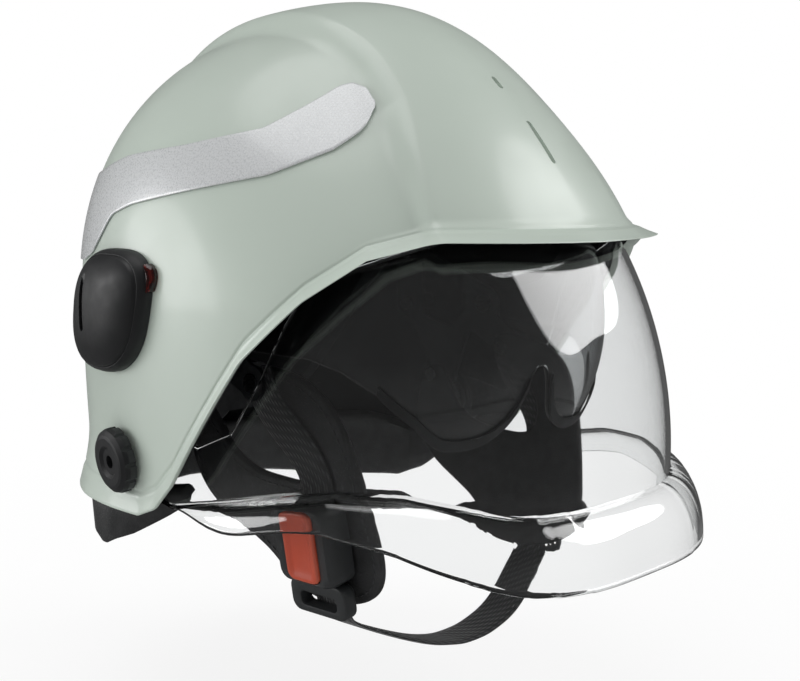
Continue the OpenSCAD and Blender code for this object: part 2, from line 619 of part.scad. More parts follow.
// Headband over the brow, and the soft pad inside it
band_end = 82;
band_thick = 1.5;
band_off = 0.8;
module headband() {
  rows = [band_low, mixed(band_low, band_high, 0.35), mixed(band_low, band_high, 0.7), band_high];
  color(BLACK) skin([for (f = [-band_end:4:band_end])
    concat([for (z = rows) cavity_pt(f, z, -band_off)],
           [for (k = [3:-1:0]) cavity_pt(f, rows[k], -band_off - band_thick)])]);
}
pad_t = 6;
module brow_pad() {
  o = -band_off - band_thick - seat;
  color(DARK) skin([for (f = [-58:4:58])
    let (e = pad_t * (0.45 + 0.55 * sqrt(max(0, 1 - pow(f / 60, 4)))), lo = band_low - 2, hi = band_high - 3)
      [cavity_pt(f, lo, o), cavity_pt(f, mixed(lo, hi, 0.33), o), cavity_pt(f, mixed(lo, hi, 0.67), o), cavity_pt(f, hi, o), cavity_pt(f, hi - 1, o - 0.6 * e), cavity_pt(f, hi - 6, o - e),
       cavity_pt(f, lo + 6, o - e), cavity_pt(f, lo + 1, o - 0.6 * e)]]);
}

// Ratchet at the nape: two racks driven by one pinion
gear_y = shell_rear - 33;
gear_t = 3;
gear_z = -60;
pitch_r = gear_module * pinion_teeth / 2;
pressure = 25;
backlash = 0.14;
rack_len = 70;
rack_reach = 18;
shaft_r = 2.5;
house_half = 34;
house_gap = pitch_r + 1.25 * gear_module + 1.6;
// Involute flank, from the base circle to the tip
function inv(a) = tan(a) * 180 / PI - a;
base_r = pitch_r * cos(pressure);
tip_r = pitch_r + gear_module;
root_r = pitch_r - 1.25 * gear_module;
half_tooth = 90 / pinion_teeth - backlash / pitch_r * 45 / PI;
function flank(r) = half_tooth + inv(pressure) - inv(acos(min(1, base_r / r)));
FLANK_R = [for (t = [0:0.2:1]) mixed(max(base_r, root_r), tip_r, t)];
module pinion_outline() {
  polygon([for (k = [0:pinion_teeth - 1]) let (c = 90 - k * 360 / pinion_teeth)
    each concat([let (a = c + 180 / pinion_teeth) root_r * [cos(a), sin(a)]],
                [for (r = FLANK_R) r * [cos(c + flank(r)), sin(c + flank(r))]],
                [for (j = [len(FLANK_R) - 1:-1:0]) let (r = FLANK_R[j]) r * [cos(c - flank(r)), sin(c - flank(r))]])]);
}
module ratchet_pinion() {
  color(STEEL) front_extrude(gear_y, gear_y + gear_t) translate([0, gear_z]) difference() {
    pinion_outline();
    circle(shaft_r + run);
  }
}
// Rack above the pinion, reaching from the right-hand arm. Its teeth point down.
module rack_bar() {
  pitch = PI * gear_module;
  half = pitch / 4 - backlash / 2;
  top = 0.85 * gear_module;
  low = 1.25 * gear_module;
  n = 5;
  translate([0, gear_z + pitch_r]) union() {
    translate([rack_reach - rack_len, low]) square([rack_len, 1.4]);
    translate([rack_reach - rack_len, -0.6]) square([rack_len - rack_reach - (n + 0.5) * pitch, 2.6]);
    for (k = [-n:n]) translate([(k + 0.5) * pitch, 0])
      if ((k + 0.5) * pitch < rack_reach - 1)
        polygon([[-half - low * tan(pressure), low + 0.1], [half + low * tan(pressure), low + 0.1],
                 [half - top * tan(pressure), -top], [-half + top * tan(pressure), -top]]);
  }
}
module rack_right() {
  color(BLACK) front_extrude(gear_y, gear_y + gear_t) rack_bar();
}
module rack_left() {
  color(BLACK) translate([0, 0, 2 * gear_z]) rotate([0, 180, 0]) rack_right();
}
module ratchet_housing() {
  h = 2 * house_gap + 8;
  color(BLACK) difference() {
    translate([0, gear_y - 2.4, gear_z]) rotate([-90, 0, 0]) round_plate(2 * house_half, h, gear_t + 2.7, 6);
    translate([-house_half - 1, gear_y - 0.3, gear_z - house_gap]) cube([2 * house_half + 2, gear_t + 4, 2 * house_gap]);
    translate([0, gear_y - 5, gear_z]) rotate([-90, 0, 0]) cylinder(r = shaft_r + run, h = 10);
  }
}
module ratchet_cover() {
  h = 2 * house_gap + 8;
  color(BLACK) difference() {
    union() {
      translate([0, gear_y + gear_t + 0.6, gear_z]) rotate([-90, 0, 0]) round_plate(2 * house_half, h, 2, 6);
      translate([0, gear_y + gear_t + 0.6, gear_z]) rotate([-90, 0, 0]) cylinder(r = 9, h = 2.6);
    }
    translate([0, gear_y, gear_z]) rotate([-90, 0, 0]) cylinder(r = shaft_r + run, h = 10);
  }
}
module ratchet_knob() {
  y0 = gear_y + gear_t + 3.6;
  color(DARK) union() {
    translate([0, gear_y - 2.2, gear_z]) rotate([-90, 0, 0]) cylinder(r = shaft_r, h = y0 - gear_y + 3.2);
    difference() {
      translate([0, y0, gear_z]) rotate([-90, 0, 0]) rotate_extrude($fn = 96)
        polygon([[0, 0], [knob_r - 2, 0], [knob_r, 2], [knob_r, knob_t - 3], [knob_r - 3, knob_t], [6, knob_t - 1.5], [0, knob_t - 1.5]]);
      for (a = [0:24:336]) translate([0, y0 - 1, gear_z]) rotate([-90, 0, 0]) rotate([0, 0, a])
        translate([knob_r + 1.2, 0, 0]) cylinder(r = 2.4, h = knob_t + 2, $fn = 24);
    }
  }
}
// Arms from the temples round to the racks. Each lies inside the headband's end, follows
// the cavity, then bends down to its rack. The list holds the edge's lower and upper points.
rack_arm_x = rack_len - rack_reach + 0.4;
arm_w = 14;
arm_t = 1.6;
arm_off = band_off + band_thick + seat + arm_t / 2;
function curve3(c, t) = pow(1 - t, 3) * c[0] + 3 * t * pow(1 - t, 2) * c[1] + 3 * t * t * (1 - t) * c[2] + pow(t, 3) * c[3];
function arm_height(f) = mixed(48, 24, sm(70, 122, f) * 0.5 + 0.5 * max(0, (f - 70) / 52));
function arm_edge(f, side) = cavity_pt(-f, arm_height(f) + side * arm_w / 2, -arm_off);
function arm_bend(side, end_z) =
  let (a = arm_edge(114, side), d = a - arm_edge(106, side), e = [-rack_arm_x, gear_y + gear_t / 2, end_z + side * 3])
    [for (t = [0.14:0.143:1.01]) curve3([a, a + d * 3, e + [-26, -4, 4], e], t)];
module arm_skin(end_z) {
  lower = concat([for (f = [66:8:114]) arm_edge(f, -1)], arm_bend(-1, end_z));
  upper = concat([for (f = [66:8:114]) arm_edge(f, 1)], arm_bend(1, end_z));
  n = len(lower);
  skin([for (k = [0:n - 1])
    let (a = max(0, k - 1), b = min(n - 1, k + 1), w = cross(lower[b] - lower[a] + upper[b] - upper[a], upper[k] - lower[k]),
         o = w / norm(w) * arm_t / 2)
      [lower[k] + o, upper[k] + o, upper[k] - o, lower[k] - o]]);
}
module band_arm_right() {
  color(BLACK) arm_skin(gear_z + pitch_r + 1.4);
}
module band_arm_left() {
  color(BLACK) mirror([1, 0, 0]) arm_skin(gear_z - pitch_r - 1.4);
}

// Nape pad: a soft cushion inside the shell's rear edge
NAPE_LOW = [[102, -93], [108, -101], [116, -112], [124, -120], [140, -121], [160, -116], [180, -113]];
NAPE_TOP = [[102, -85], [110, -87], [120, -88], [132, -82], [180, -84]];
// How far the two front lobes stand in from the shell, to pass inside the shield's hinges
NAPE_IN = [[102, 24], [108, 20], [114, 12], [120, 4], [126, 0], [180, 0]];
nape_t = 9;
nape_edge = 90;
module nape_pad() {
  color(DARK) skin([for (f = [258:-4:102])
    let (top = lookup(fold(f), NAPE_TOP), low = lookup(fold(f), NAPE_LOW),
         e = 0.5 + 0.5 * sqrt(max(0, 1 - pow((f - 180) / 79, 8))), t = nape_t * e,
         n = [-sin(f), cos(f), 0], s = n * lookup(fold(f), NAPE_IN),
         mid = min(-nape_edge, top - 3), a = nape_pt(f, top, -2) + s, b = nape_pt(f, mid, -2) + s)
      [a + n * 2, b, b + n * 1.5 + [0, 0, (low - mid) * 0.7], b + n * (t * 0.5) + [0, 0, low - mid],
       b + n * t + [0, 0, (low - mid) * 0.8], b + n * (t + 0.5), a + n * (t + 1) + [0, 0, -3], a + n * t * 0.6 + [0, 0, 0.5]]]);
}
function nape_pt(f, z, off) = shell_pt(f, psi_at(f, z, -shell_wall + off), -shell_wall + off);

// Harness: everything from here hangs in a plane that leans in towards the jaw
yoke_top = -22;
yoke_lean = 10;
rivet_r = 1.8;
module on_yoke() {
  translate([-yoke_x, 0, yoke_top]) rotate([0, -yoke_lean, 0]) children();
}
YOKE = [[-34, -26], [-50, -29], [-61, -35], [-68.5, -43.5], [-73.5, -54], [-77.5, -66], [-80.5, -80], [-83, -95],
        [-85, -110], [-82, -121], [-74, -128.5], [-60, -133], [-46, -134], [-34, -132], [-25, -126.5], [-15, -116],
        [-2, -109], [14, -100.5], [26, -90], [31, -76], [31, -60], [28, -48], [16, -46], [10, -56], [0, -70],
        [-14, -76.5], [-28, -77.5], [-44, -78], [-52, -74], [-53, -62], [-44, -50], [-26, -42], [-18, -34], [-22, -26]];
// Place along the yoke's plane of a point at height z
function yoke_v(z) = (z - yoke_top - yoke_t / 2 * sin(yoke_lean)) / cos(yoke_lean);
module yoke_right() {
  color(DARK) on_yoke() difference() {
    side_extrude(0, yoke_t) polygon([for (p = YOKE) [p.x, p.y - yoke_top]]);
    for (p = [front_rivet, rear_rivet]) drum(p.x, yoke_v(p.y), -yoke_t, 2 * yoke_t, rivet_r + 0.5);
  }
}
buckle_y = -54;
buckle_v = -77;
buckle_w = 34;
buckle_h = 38;
buckle_t = 14;
module web_right() {
  w = web_w / 2;
  color(DARK) on_yoke() difference() {
    side_extrude(-seat - web_t, -seat) union() {
      polygon([[-34, -4], [-18, -4], [-18, -18], [buckle_y + w, -44], [buckle_y + w, buckle_v - 16],
               [buckle_y - w, buckle_v - 16], [buckle_y - w, -36]]);
    }
    drum(front_rivet.x, yoke_v(front_rivet.y) + 0.3, -10, 10, rivet_r + 0.8);
  }
}
module yoke_rivets() {
  color(STEEL) for (m = [0, 1], p = [front_rivet, rear_rivet]) mirror([m, 0, 0]) {
    inner = -yoke_x + (yoke_top - p.y) * tan(yoke_lean) + yoke_t / cos(yoke_lean) + 1.4;
    drum(p.x, p.y, -frame_in - frame_t - 1.2, inner + 1.2, rivet_r);
    drum(p.x, p.y, -frame_in - frame_t - 1.2, -frame_in - frame_t - 0.2, 4);
    drum(p.x, p.y, inner, inner + 1.2, 3.6);
  }
}

// Buckle, in the yoke's own plane: z runs down the strap and -x is the outer face
back = -seat - web_t - seat;
well_clear = 0.25;
blade_w = 22;
blade_t = 3.2;
blade_x = back - 2;
blade_in = 24;
strap_seat = back - 1.2;
frame_v = buckle_v - buckle_h / 2;
tongue_h = 16;
tongue_travel = 30;
module buckle_plate(w, h, t, r) {
  rotate([0, -90, 0]) rotate([0, 0, 90]) round_plate(w, h, t, r);
}
module buckle_body() {
  color(DARK) on_yoke() translate([0, buckle_y, buckle_v]) difference() {
    union() {
      translate([back, 0, 0]) buckle_plate(buckle_w, buckle_h, buckle_t - 2, 6);
      translate([back, 0, 0]) buckle_plate(buckle_w - 4, buckle_h - 3, buckle_t, 5);
    }
    translate([blade_x - blade_t - 0.3, 0, 0]) buckle_plate(button_w + 2 * well_clear, button_h + 2 * well_clear, buckle_t, 4.25);
    translate([blade_x + 0.3, -blade_w / 2 - 0.4, -buckle_h / 2 - 1])
      mirror([1, 0, 0]) cube([blade_t + 0.6, blade_w + 0.8, blade_in + 2]);
  }
}
module buckle_button() {
  x0 = blade_x - blade_t - 0.5 - button_travel;
  t = -(back - buckle_t) + x0 + 1.4;
  color(ORANGE) on_yoke() translate([x0, buckle_y, buckle_v]) difference() {
    union() {
      buckle_plate(button_w, button_h, t - 1, 4);
      buckle_plate(button_w - 2.4, button_h - 2.4, t, 3.2);
    }
    for (k = [-1:1]) translate([-t - 0.5, -button_w / 2 + 4, k * 7 - 0.5]) cube([1, button_w - 8, 1]);
  }
}
module buckle_tongue() {
  color(DARK) on_yoke() translate([0, buckle_y, frame_v]) {
    translate([blade_x, 0, blade_in / 2 - 3]) buckle_plate(blade_w, blade_in + 5, blade_t, 2);
    difference() {
      translate([strap_seat, 0, -tongue_h / 2 - 0.4]) buckle_plate(buckle_w, tongue_h, 7, 5);
      translate([buckle_t, 0, -tongue_h / 2 - 1.6]) buckle_plate(blade_w, 7.5, 3 * buckle_t, 2.5);
    }
  }
}
module strap_slider() {
  color(DARK) mirror([1, 0, 0]) on_yoke() translate([0, buckle_y, frame_v]) difference() {
    translate([strap_seat, 0, -tongue_h / 2 - 0.4]) buckle_plate(buckle_w - 4, tongue_h + 4, 4.4, 4);
    for (s = [-1, 1]) translate([buckle_t, 0, -tongue_h / 2 - 0.4 + s * 5]) buckle_plate(blade_w, 4, 3 * buckle_t, 1.5);
  }
}

// Chin strap: a band under the jaw, its ends tucked behind the tongue and the slider, its middle
// bowed forward. Middle line under the chin, as [share of its half width, z]
STRAP_LOW = [[0, -161], [0.118, -160.8], [0.236, -159.3], [0.406, -156.5], [0.601, -151.6], [0.771, -146.6], [0.915, -142]];
// Middle line up behind the buckle, as [distance in from the yoke's top, z]
STRAP_END = [[21.4, -138.6], [18.3, -135], [17.1, -130.5], [15.9, -125], [14.5, -118]];
strap_bow = 12;
bow_from = 136;
bow_to = 160;
module chin_strap() {
  low_w = yoke_x - STRAP_END[0].x;
  half = concat([for (p = STRAP_LOW) [p.x * low_w, p.y]], [for (p = STRAP_END) [yoke_x - p.x, p.y]]);
  line = concat([for (k = [len(half) - 1:-1:1]) [-half[k].x, half[k].y]], half);
  m = len(line);
  color(DARK) skin([for (k = [0:m - 1])
    let (p = line[k], t = line[min(m - 1, k + 1)] - line[max(0, k - 1)], o = [-t.y, t.x] / norm(t) * web_t / 2,
         y = buckle_y - strap_bow * sm(bow_from, bow_to, -p.y))
      [[p.x + o.x, y - web_w / 2, p.y + o.y], [p.x + o.x, y + web_w / 2, p.y + o.y],
       [p.x - o.x, y + web_w / 2, p.y - o.y], [p.x - o.x, y - web_w / 2, p.y - o.y]]]);
}

outer_shell();
rim_seal();
reflector_right();
mirror([1, 0, 0]) reflector_right();  // reflector_left
side_cover_right();
mirror([1, 0, 0]) side_cover_right();  // side_cover_left
signal_lens_right();
mirror([1, 0, 0]) signal_lens_right();  // signal_lens_left
hinge_cap_right();
mirror([1, 0, 0]) hinge_cap_right();  // hinge_cap_left
hinge_bush_right();
mirror([1, 0, 0]) hinge_bush_right();  // hinge_bush_left
hinge_clip_right();
mirror([1, 0, 0]) hinge_clip_right();  // hinge_clip_left
face_shield();
side_frame_right();
mirror([1, 0, 0]) side_frame_right();  // side_frame_left
frame_screws();
visor_pin_right();
mirror([1, 0, 0]) visor_pin_right();  // visor_pin_left
inner_visor();
visor_edging();
impact_liner();
crown_net();
headband();
brow_pad();
band_arm_right();
band_arm_left();
rack_right();
rack_left();
ratchet_pinion();
ratchet_housing();
ratchet_cover();
ratchet_knob();
nape_pad();
yoke_right();
mirror([1, 0, 0]) yoke_right();  // yoke_left
web_right();
mirror([1, 0, 0]) web_right();  // web_left
yoke_rivets();
buckle_body();
buckle_button();
buckle_tongue();
chin_strap();
strap_slider();
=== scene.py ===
"""Heat-resistant rescue helmet: its looks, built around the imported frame.

All sizes are in millimetres until a mesh is made, and metres after that. The face looks
along -Y, the wearer's left is +X, and the origin is the centre of the head cavity.
"""

from __future__ import annotations

import json
import logging
import math
from dataclasses import dataclass, field
from enum import Enum
from typing import Callable, Iterable, Sequence

import bmesh
import bpy
import numpy as np
from mathutils import Matrix, Vector

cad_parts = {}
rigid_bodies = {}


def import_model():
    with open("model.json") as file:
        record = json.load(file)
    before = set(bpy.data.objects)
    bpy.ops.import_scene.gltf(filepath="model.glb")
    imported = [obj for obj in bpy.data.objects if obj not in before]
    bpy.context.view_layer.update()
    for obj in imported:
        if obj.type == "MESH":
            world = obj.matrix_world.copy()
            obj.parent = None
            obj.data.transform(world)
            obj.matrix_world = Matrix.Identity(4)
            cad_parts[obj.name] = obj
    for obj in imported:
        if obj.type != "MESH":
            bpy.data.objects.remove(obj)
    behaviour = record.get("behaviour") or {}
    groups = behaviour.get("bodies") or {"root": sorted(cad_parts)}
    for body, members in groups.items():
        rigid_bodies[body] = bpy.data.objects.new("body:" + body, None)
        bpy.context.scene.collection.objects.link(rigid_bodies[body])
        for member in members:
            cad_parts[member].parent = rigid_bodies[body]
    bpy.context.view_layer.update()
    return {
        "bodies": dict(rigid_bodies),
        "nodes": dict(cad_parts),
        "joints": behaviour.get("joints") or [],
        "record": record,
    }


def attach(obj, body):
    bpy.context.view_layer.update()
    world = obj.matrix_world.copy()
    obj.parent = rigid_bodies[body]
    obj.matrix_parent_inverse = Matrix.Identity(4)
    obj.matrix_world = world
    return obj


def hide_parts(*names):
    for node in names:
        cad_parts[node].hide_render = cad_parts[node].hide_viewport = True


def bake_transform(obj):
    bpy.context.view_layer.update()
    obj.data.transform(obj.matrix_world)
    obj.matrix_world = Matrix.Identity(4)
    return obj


log = logging.getLogger("helmet")
MM = 0.001
WAVE_UNIT = math.pi / 10  # a wave texture of scale 1 repeats every pi/10 units
UV_UNIT = 0.01  # one millimetre of cloth is this much of its UV map
EDGE_STEPS = 3  # points across a sheet's rounded edge
BAND_POINTS = 9  # points across each face of a strap
Table = Sequence[Sequence[float]]


class Body(Enum):
    """The bodies of the frame that pieces ride on."""

    HELMET = "helmet"
    SHIELD = "face_shield_body"
    VISOR = "inner_visor_body"
    BUTTON = "buckle_button_body"
    TONGUE = "buckle_tongue_body"
    RACK_RIGHT = "rack_right_body"
    RACK_LEFT = "rack_left_body"


class Side(Enum):
    """The wearer's two sides, with the sign that mirrors a right-hand shape."""

    RIGHT = 1
    LEFT = -1

    @property
    def word(self) -> str:
        """The side's name in lower case."""
        return self.name.lower()


# Small numeric helpers


def smooth_step(low: float, high: float, value: np.ndarray | float) -> np.ndarray:
    """Eased step from 0 at low to 1 at high.

    Args:
        low: value at which the step starts.
        high: value at which it ends.
        value: one value or an array.

    Returns:
        The eased share, of the same shape as value.
    """
    share = np.clip((np.asarray(value, float) - low) / (high - low), 0, 1)
    return share * share * (3 - 2 * share)


def look_up(table: Table, value: np.ndarray | float) -> np.ndarray:
    """Reads a table of [key, value] rows with straight lines between them."""
    rows = np.asarray(table, float)
    return np.interp(value, rows[:, 0], rows[:, 1])


def fold(angle: np.ndarray | float) -> np.ndarray:
    """Angle from the front, 0 to 180, whichever side it is on."""
    size = np.abs(angle)
    return np.where(size > 180, 360 - size, size)


def unit(vectors: np.ndarray) -> np.ndarray:
    """The vectors scaled to length one along their last axis."""
    return vectors / np.maximum(np.linalg.norm(vectors, axis=-1, keepdims=True), 1e-9)


def rounded_path(points: Table, rounds: int = 2, closed: bool = True) -> np.ndarray:
    """Cuts the corners of a path, so that it runs in smooth curves.

    Args:
        points: the path's corners.
        rounds: how many times the corners are cut.
        closed: True where the last point joins the first.

    Returns:
        The smoothed points.
    """
    path = np.asarray(points, float)
    for _ in range(rounds):
        after = np.roll(path, -1, 0) if closed else path[1:]
        before = path if closed else path[:-1]
        cut = np.stack([0.75 * before + 0.25 * after, 0.25 * before + 0.75 * after], 1)
        cut = cut.reshape(-1, path.shape[1])
        path = cut if closed else np.vstack([path[:1], cut, path[-1:]])
    return path


def even_path(points: np.ndarray, count: int) -> np.ndarray:
    """Places count points at equal distances along an open path.

    Args:
        points: the path's points.
        count: how many points it gets.

    Returns:
        The points, evenly spaced.
    """
    path = np.asarray(points, float)
    gone = np.concatenate([[0], np.cumsum(np.linalg.norm(np.diff(path, axis=0), axis=1))])
    at = np.linspace(0, gone[-1], count)
    return np.stack([np.interp(at, gone, path[:, k]) for k in range(path.shape[1])], 1)


def inside(polygon: Table, a: np.ndarray, b: np.ndarray) -> np.ndarray:
    """Tells which of the points (a, b) lie inside a flat polygon.

    Args:
        polygon: the polygon's corners.
        a: first value of each point.
        b: second value of each point.

    Returns:
        True for each point that lies inside.
    """
    corners = np.asarray(polygon, float)
    found = np.zeros(np.shape(a), bool)
    for (a0, b0), (a1, b1) in zip(corners, np.roll(corners, -1, 0)):
        if b0 == b1:
            continue
        crosses = (b > min(b0, b1)) & (b <= max(b0, b1))
        found ^= crosses & (a < a0 + (b - b0) * (a1 - a0) / (b1 - b0))
    return found


def curve_at(knots: Sequence[np.ndarray], t: np.ndarray) -> np.ndarray:
    """Points at shares t along the smooth curve that four knots steer."""
    weights = ((1 - t) ** 3, 3 * t * (1 - t) ** 2, 3 * t * t * (1 - t), t ** 3)
    return sum(w * k for w, k in zip(weights, knots))


def angle_at(height: Callable[[np.ndarray], np.ndarray], level: np.ndarray) -> np.ndarray:
    """Halves its way to the angle at which a form comes down to a level.

    Args:
        height: height of the form at given angles from the top, in degrees.
        level: the height sought.

    Returns:
        The angles, of the same shape as level.
    """
    low, high = np.full(level.shape, 1.0), np.full(level.shape, 150.0)
    for _ in range(22):
        mid = (low + high) / 2
        above = height(mid) > level
        low, high = np.where(above, mid, low), np.where(above, high, mid)
    return (low + high) / 2


# Meshes


def make_mesh(name: str, points: np.ndarray, faces: Iterable[Sequence[int]], uv: np.ndarray | None = None,
              sharp: float = 40) -> bpy.types.Object:
    """Makes one smooth-shaded piece from points in millimetres.

    Args:
        name: the piece's name.
        points: its vertices in millimetres.
        faces: vertex numbers of each face.
        uv: optional place of each vertex on the cloth, in millimetres.
        sharp: angle in degrees past which an edge is drawn sharp.

    Returns:
        The new object, linked to the scene.
    """
    mesh = bpy.data.meshes.new(name)
    mesh.from_pydata((np.asarray(points) * MM).tolist(), [], [list(f) for f in faces])
    if uv is not None:
        layer = mesh.uv_layers.new(name="cloth")
        index = np.zeros(len(mesh.loops), int)
        mesh.loops.foreach_get("vertex_index", index)
        layer.data.foreach_set("uv", (np.asarray(uv)[index] * UV_UNIT).ravel())
    return tidy(link(bpy.data.objects.new(name, mesh)), sharp)


def link(piece: bpy.types.Object) -> bpy.types.Object:
    """Puts an object into the scene."""
    bpy.context.scene.collection.objects.link(piece)
    return piece


def tidy(piece: bpy.types.Object, sharp: float = 40) -> bpy.types.Object:
    """Merges doubled points, turns the faces outwards and shades the piece smooth.

    Args:
        piece: the piece.
        sharp: angle in degrees past which an edge is drawn sharp.

    Returns:
        The same piece.
    """
    work = bmesh.new()
    work.from_mesh(piece.data)
    bmesh.ops.remove_doubles(work, verts=work.verts, dist=2e-6)
    bmesh.ops.dissolve_degenerate(work, edges=work.edges, dist=1e-7)
    bmesh.ops.recalc_face_normals(work, faces=work.faces)
    work.to_mesh(piece.data)
    work.free()
    piece.data.shade_smooth()
    piece.data.set_sharp_from_angle(angle=math.radians(sharp))
    return piece


def grid_faces(rows: int, columns: int, wrap_rows: bool = False, wrap_columns: bool = False,
               start: int = 0) -> list[tuple[int, int, int, int]]:
    """Faces of a rows by columns grid of points.

    Args:
        rows: number of rows of points.
        columns: number of points in a row.
        wrap_rows: True where the last row joins the first.
        wrap_columns: True where each row closes on itself.
        start: number of the grid's first point.

    Returns:
        The quads as vertex numbers.
    """
    made = []
    for i in range(rows if wrap_rows else rows - 1):
        below = (i + 1) % rows
        for j in range(columns if wrap_columns else columns - 1):
            after = (j + 1) % columns
            made.append((start + i * columns + j, start + below * columns + j,
                         start + below * columns + after, start + i * columns + after))
    return made


def loft(name: str, rings: Sequence[np.ndarray], closed: bool = False, uv: np.ndarray | None = None,
         sharp: float = 40) -> bpy.types.Object:
    """Skins a list of closed rings of equal length.

    Args:
        name: the piece's name.
        rings: closed rings of points in millimetres.
        closed: True where the last ring joins the first; otherwise both ends are capped.
        uv: optional place of each point on the cloth.
        sharp: angle in degrees past which an edge is drawn sharp.

    Returns:
        The new piece.
    """
    count, size = len(rings), len(rings[0])
    faces: list[Sequence[int]] = list(grid_faces(count, size, closed, True))
    if not closed:
        faces += [list(range(size))[::-1], list(range((count - 1) * size, count * size))]
    return make_mesh(name, np.concatenate(rings), faces, uv, sharp)


def grid_normals(grid: np.ndarray) -> np.ndarray:
    """Unit normals of a grid of points, from its neighbours along both ways."""
    return unit(np.cross(np.gradient(grid, axis=0), np.gradient(grid, axis=1)))


def sheet_solid(name: str, grid: np.ndarray, thickness: float, round_by: float,
                flip: bool = False) -> bpy.types.Object:
    """Thickens a grid of points into a closed sheet with rounded edges.

    Args:
        name: the piece's name.
        grid: the outer surface, as rows of points in millimetres.
        thickness: the wall in millimetres.
        round_by: how far the rounded edge stands out.
        flip: True where the wall goes to the other side.

    Returns:
        The new piece.
    """
    rows, columns = grid.shape[:2]
    normal = grid_normals(grid) * (-1 if flip else 1)
    inner = grid - normal * thickness
    points = [grid.reshape(-1, 3), inner.reshape(-1, 3)]
    half = rows * columns
    faces: list[Sequence[int]] = grid_faces(rows, columns)
    faces += [f[::-1] for f in grid_faces(rows, columns, start=half)]
    loop = [(0, j) for j in range(columns)] + [(i, columns - 1) for i in range(1, rows)]
    loop += [(rows - 1, j) for j in range(columns - 2, -1, -1)] + [(i, 0) for i in range(rows - 2, 0, -1)]
    at = np.array(loop)
    out, low = grid[at[:, 0], at[:, 1]], inner[at[:, 0], at[:, 1]]
    inward = np.clip(at, 1, [rows - 2, columns - 2])
    away = unit(out - grid[inward[:, 0], inward[:, 1]])
    rings = [at[:, 0] * columns + at[:, 1]]
    start = 2 * half
    for turn in np.linspace(0, math.pi, EDGE_STEPS + 2)[1:-1]:
        points.append((out + low) / 2 + (out - low) / 2 * math.cos(turn) + away * round_by * math.sin(turn))
        rings.append(start + np.arange(len(loop)))
        start += len(loop)
    rings.append(half + at[:, 0] * columns + at[:, 1])
    for a, b in zip(rings, rings[1:]):
        for k in range(len(loop)):
            n = (k + 1) % len(loop)
            faces.append((a[k], a[n], b[n], b[k]))
    return make_mesh(name, np.concatenate(points), faces, sharp=50)


def band(name: str, centre: np.ndarray, side: np.ndarray, width: float, thickness: float) -> bpy.types.Object:
    """Sweeps a flat strap along a path, with a map of its weave.

    Args:
        name: the piece's name.
        centre: the strap's middle line.
        side: direction across the strap at each point.
        width: the strap's width.
        thickness: the strap's thickness.

    Returns:
        The new piece.
    """
    side = unit(np.broadcast_to(side, centre.shape))
    normal = unit(np.cross(np.gradient(centre, axis=0), side))
    half = np.linspace(-0.5, 0.5, BAND_POINTS)
    across = np.concatenate([half, half[::-1]]) * width
    edge = np.clip((width / 2 - np.abs(across)) / (0.6 * thickness), 0, 1) ** 0.5
    face = np.repeat([1, -1], BAND_POINTS)
    lift = face * (0.25 + 0.75 * edge) * thickness / 2
    rings = [c + np.outer(across, s) + np.outer(lift, n) for c, s, n in zip(centre, side, normal)]
    gone = np.concatenate([[0], np.cumsum(np.linalg.norm(np.diff(centre, axis=0), axis=1))])
    uv = np.concatenate([np.stack([across, np.full(2 * BAND_POINTS, g)], 1) for g in gone])
    return loft(name, rings, uv=uv, sharp=60)


def rounded_ring(width: float, height: float, radius: float, depth: float, steps: int = 6) -> np.ndarray:
    """Points of a rounded rectangle in the plane x = depth, width along Y and height along Z.

    Args:
        width: size along Y.
        height: size along Z.
        radius: radius of the corners.
        depth: place of the plane along X.
        steps: points in each corner.

    Returns:
        The points, in order round the ring.
    """
    radius = max(min(radius, width / 2 - 0.01, height / 2 - 0.01), 0.05)
    points = []
    for k, (sy, sz) in enumerate([(1, 1), (-1, 1), (-1, -1), (1, -1)]):
        centre = np.array([sy * (width / 2 - radius), sz * (height / 2 - radius)])
        for turn in np.linspace(k * 90, k * 90 + 90, steps):
            points.append([depth, centre[0] + radius * math.cos(math.radians(turn)),
                           centre[1] + radius * math.sin(math.radians(turn))])
    return np.array(points)


def finished_mesh(source: bpy.types.Object, name: str) -> bpy.types.Mesh:
    """Plain mesh of an object, as its curve or its modifiers leave it.

    Args:
        source: the object.
        name: the new mesh's name.

    Returns:
        The new mesh.
    """
    bpy.context.view_layer.update()
    mesh = bpy.data.meshes.new_from_object(source.evaluated_get(bpy.context.evaluated_depsgraph_get()))
    mesh.name = name
    return mesh


def flat_shape(name: str, outline: np.ndarray, thickness: float, edge: float) -> bpy.types.Object:
    """Makes a flat piece with rounded edges from its outline.

    Args:
        name: the piece's name.
        outline: points [y, z] of the outline, in millimetres.
        thickness: the piece's thickness, laid from x = 0 to x = thickness.
        edge: radius of the rounded edges.

    Returns:
        The new piece.
    """
    curve = bpy.data.curves.new(name, "CURVE")
    curve.dimensions = "2D"
    curve.fill_mode = "BOTH"
    curve.extrude = (thickness / 2 - edge) * MM
    curve.bevel_depth = edge * MM
    curve.bevel_resolution = 2
    curve.offset = -edge * MM
    spline = curve.splines.new("POLY")
    spline.points.add(len(outline) - 1)
    for point, (a, b) in zip(spline.points, outline):
        point.co = (a * MM, b * MM, 0, 1)
    spline.use_cyclic_u = True
    holder = link(bpy.data.objects.new(name + ".line", curve))
    mesh = finished_mesh(holder, name)
    bpy.data.objects.remove(holder)
    for vertex in mesh.vertices:
        a, b, c = vertex.co
        vertex.co = (c + thickness / 2 * MM, a, b)
    return tidy(link(bpy.data.objects.new(name, mesh)), 55)


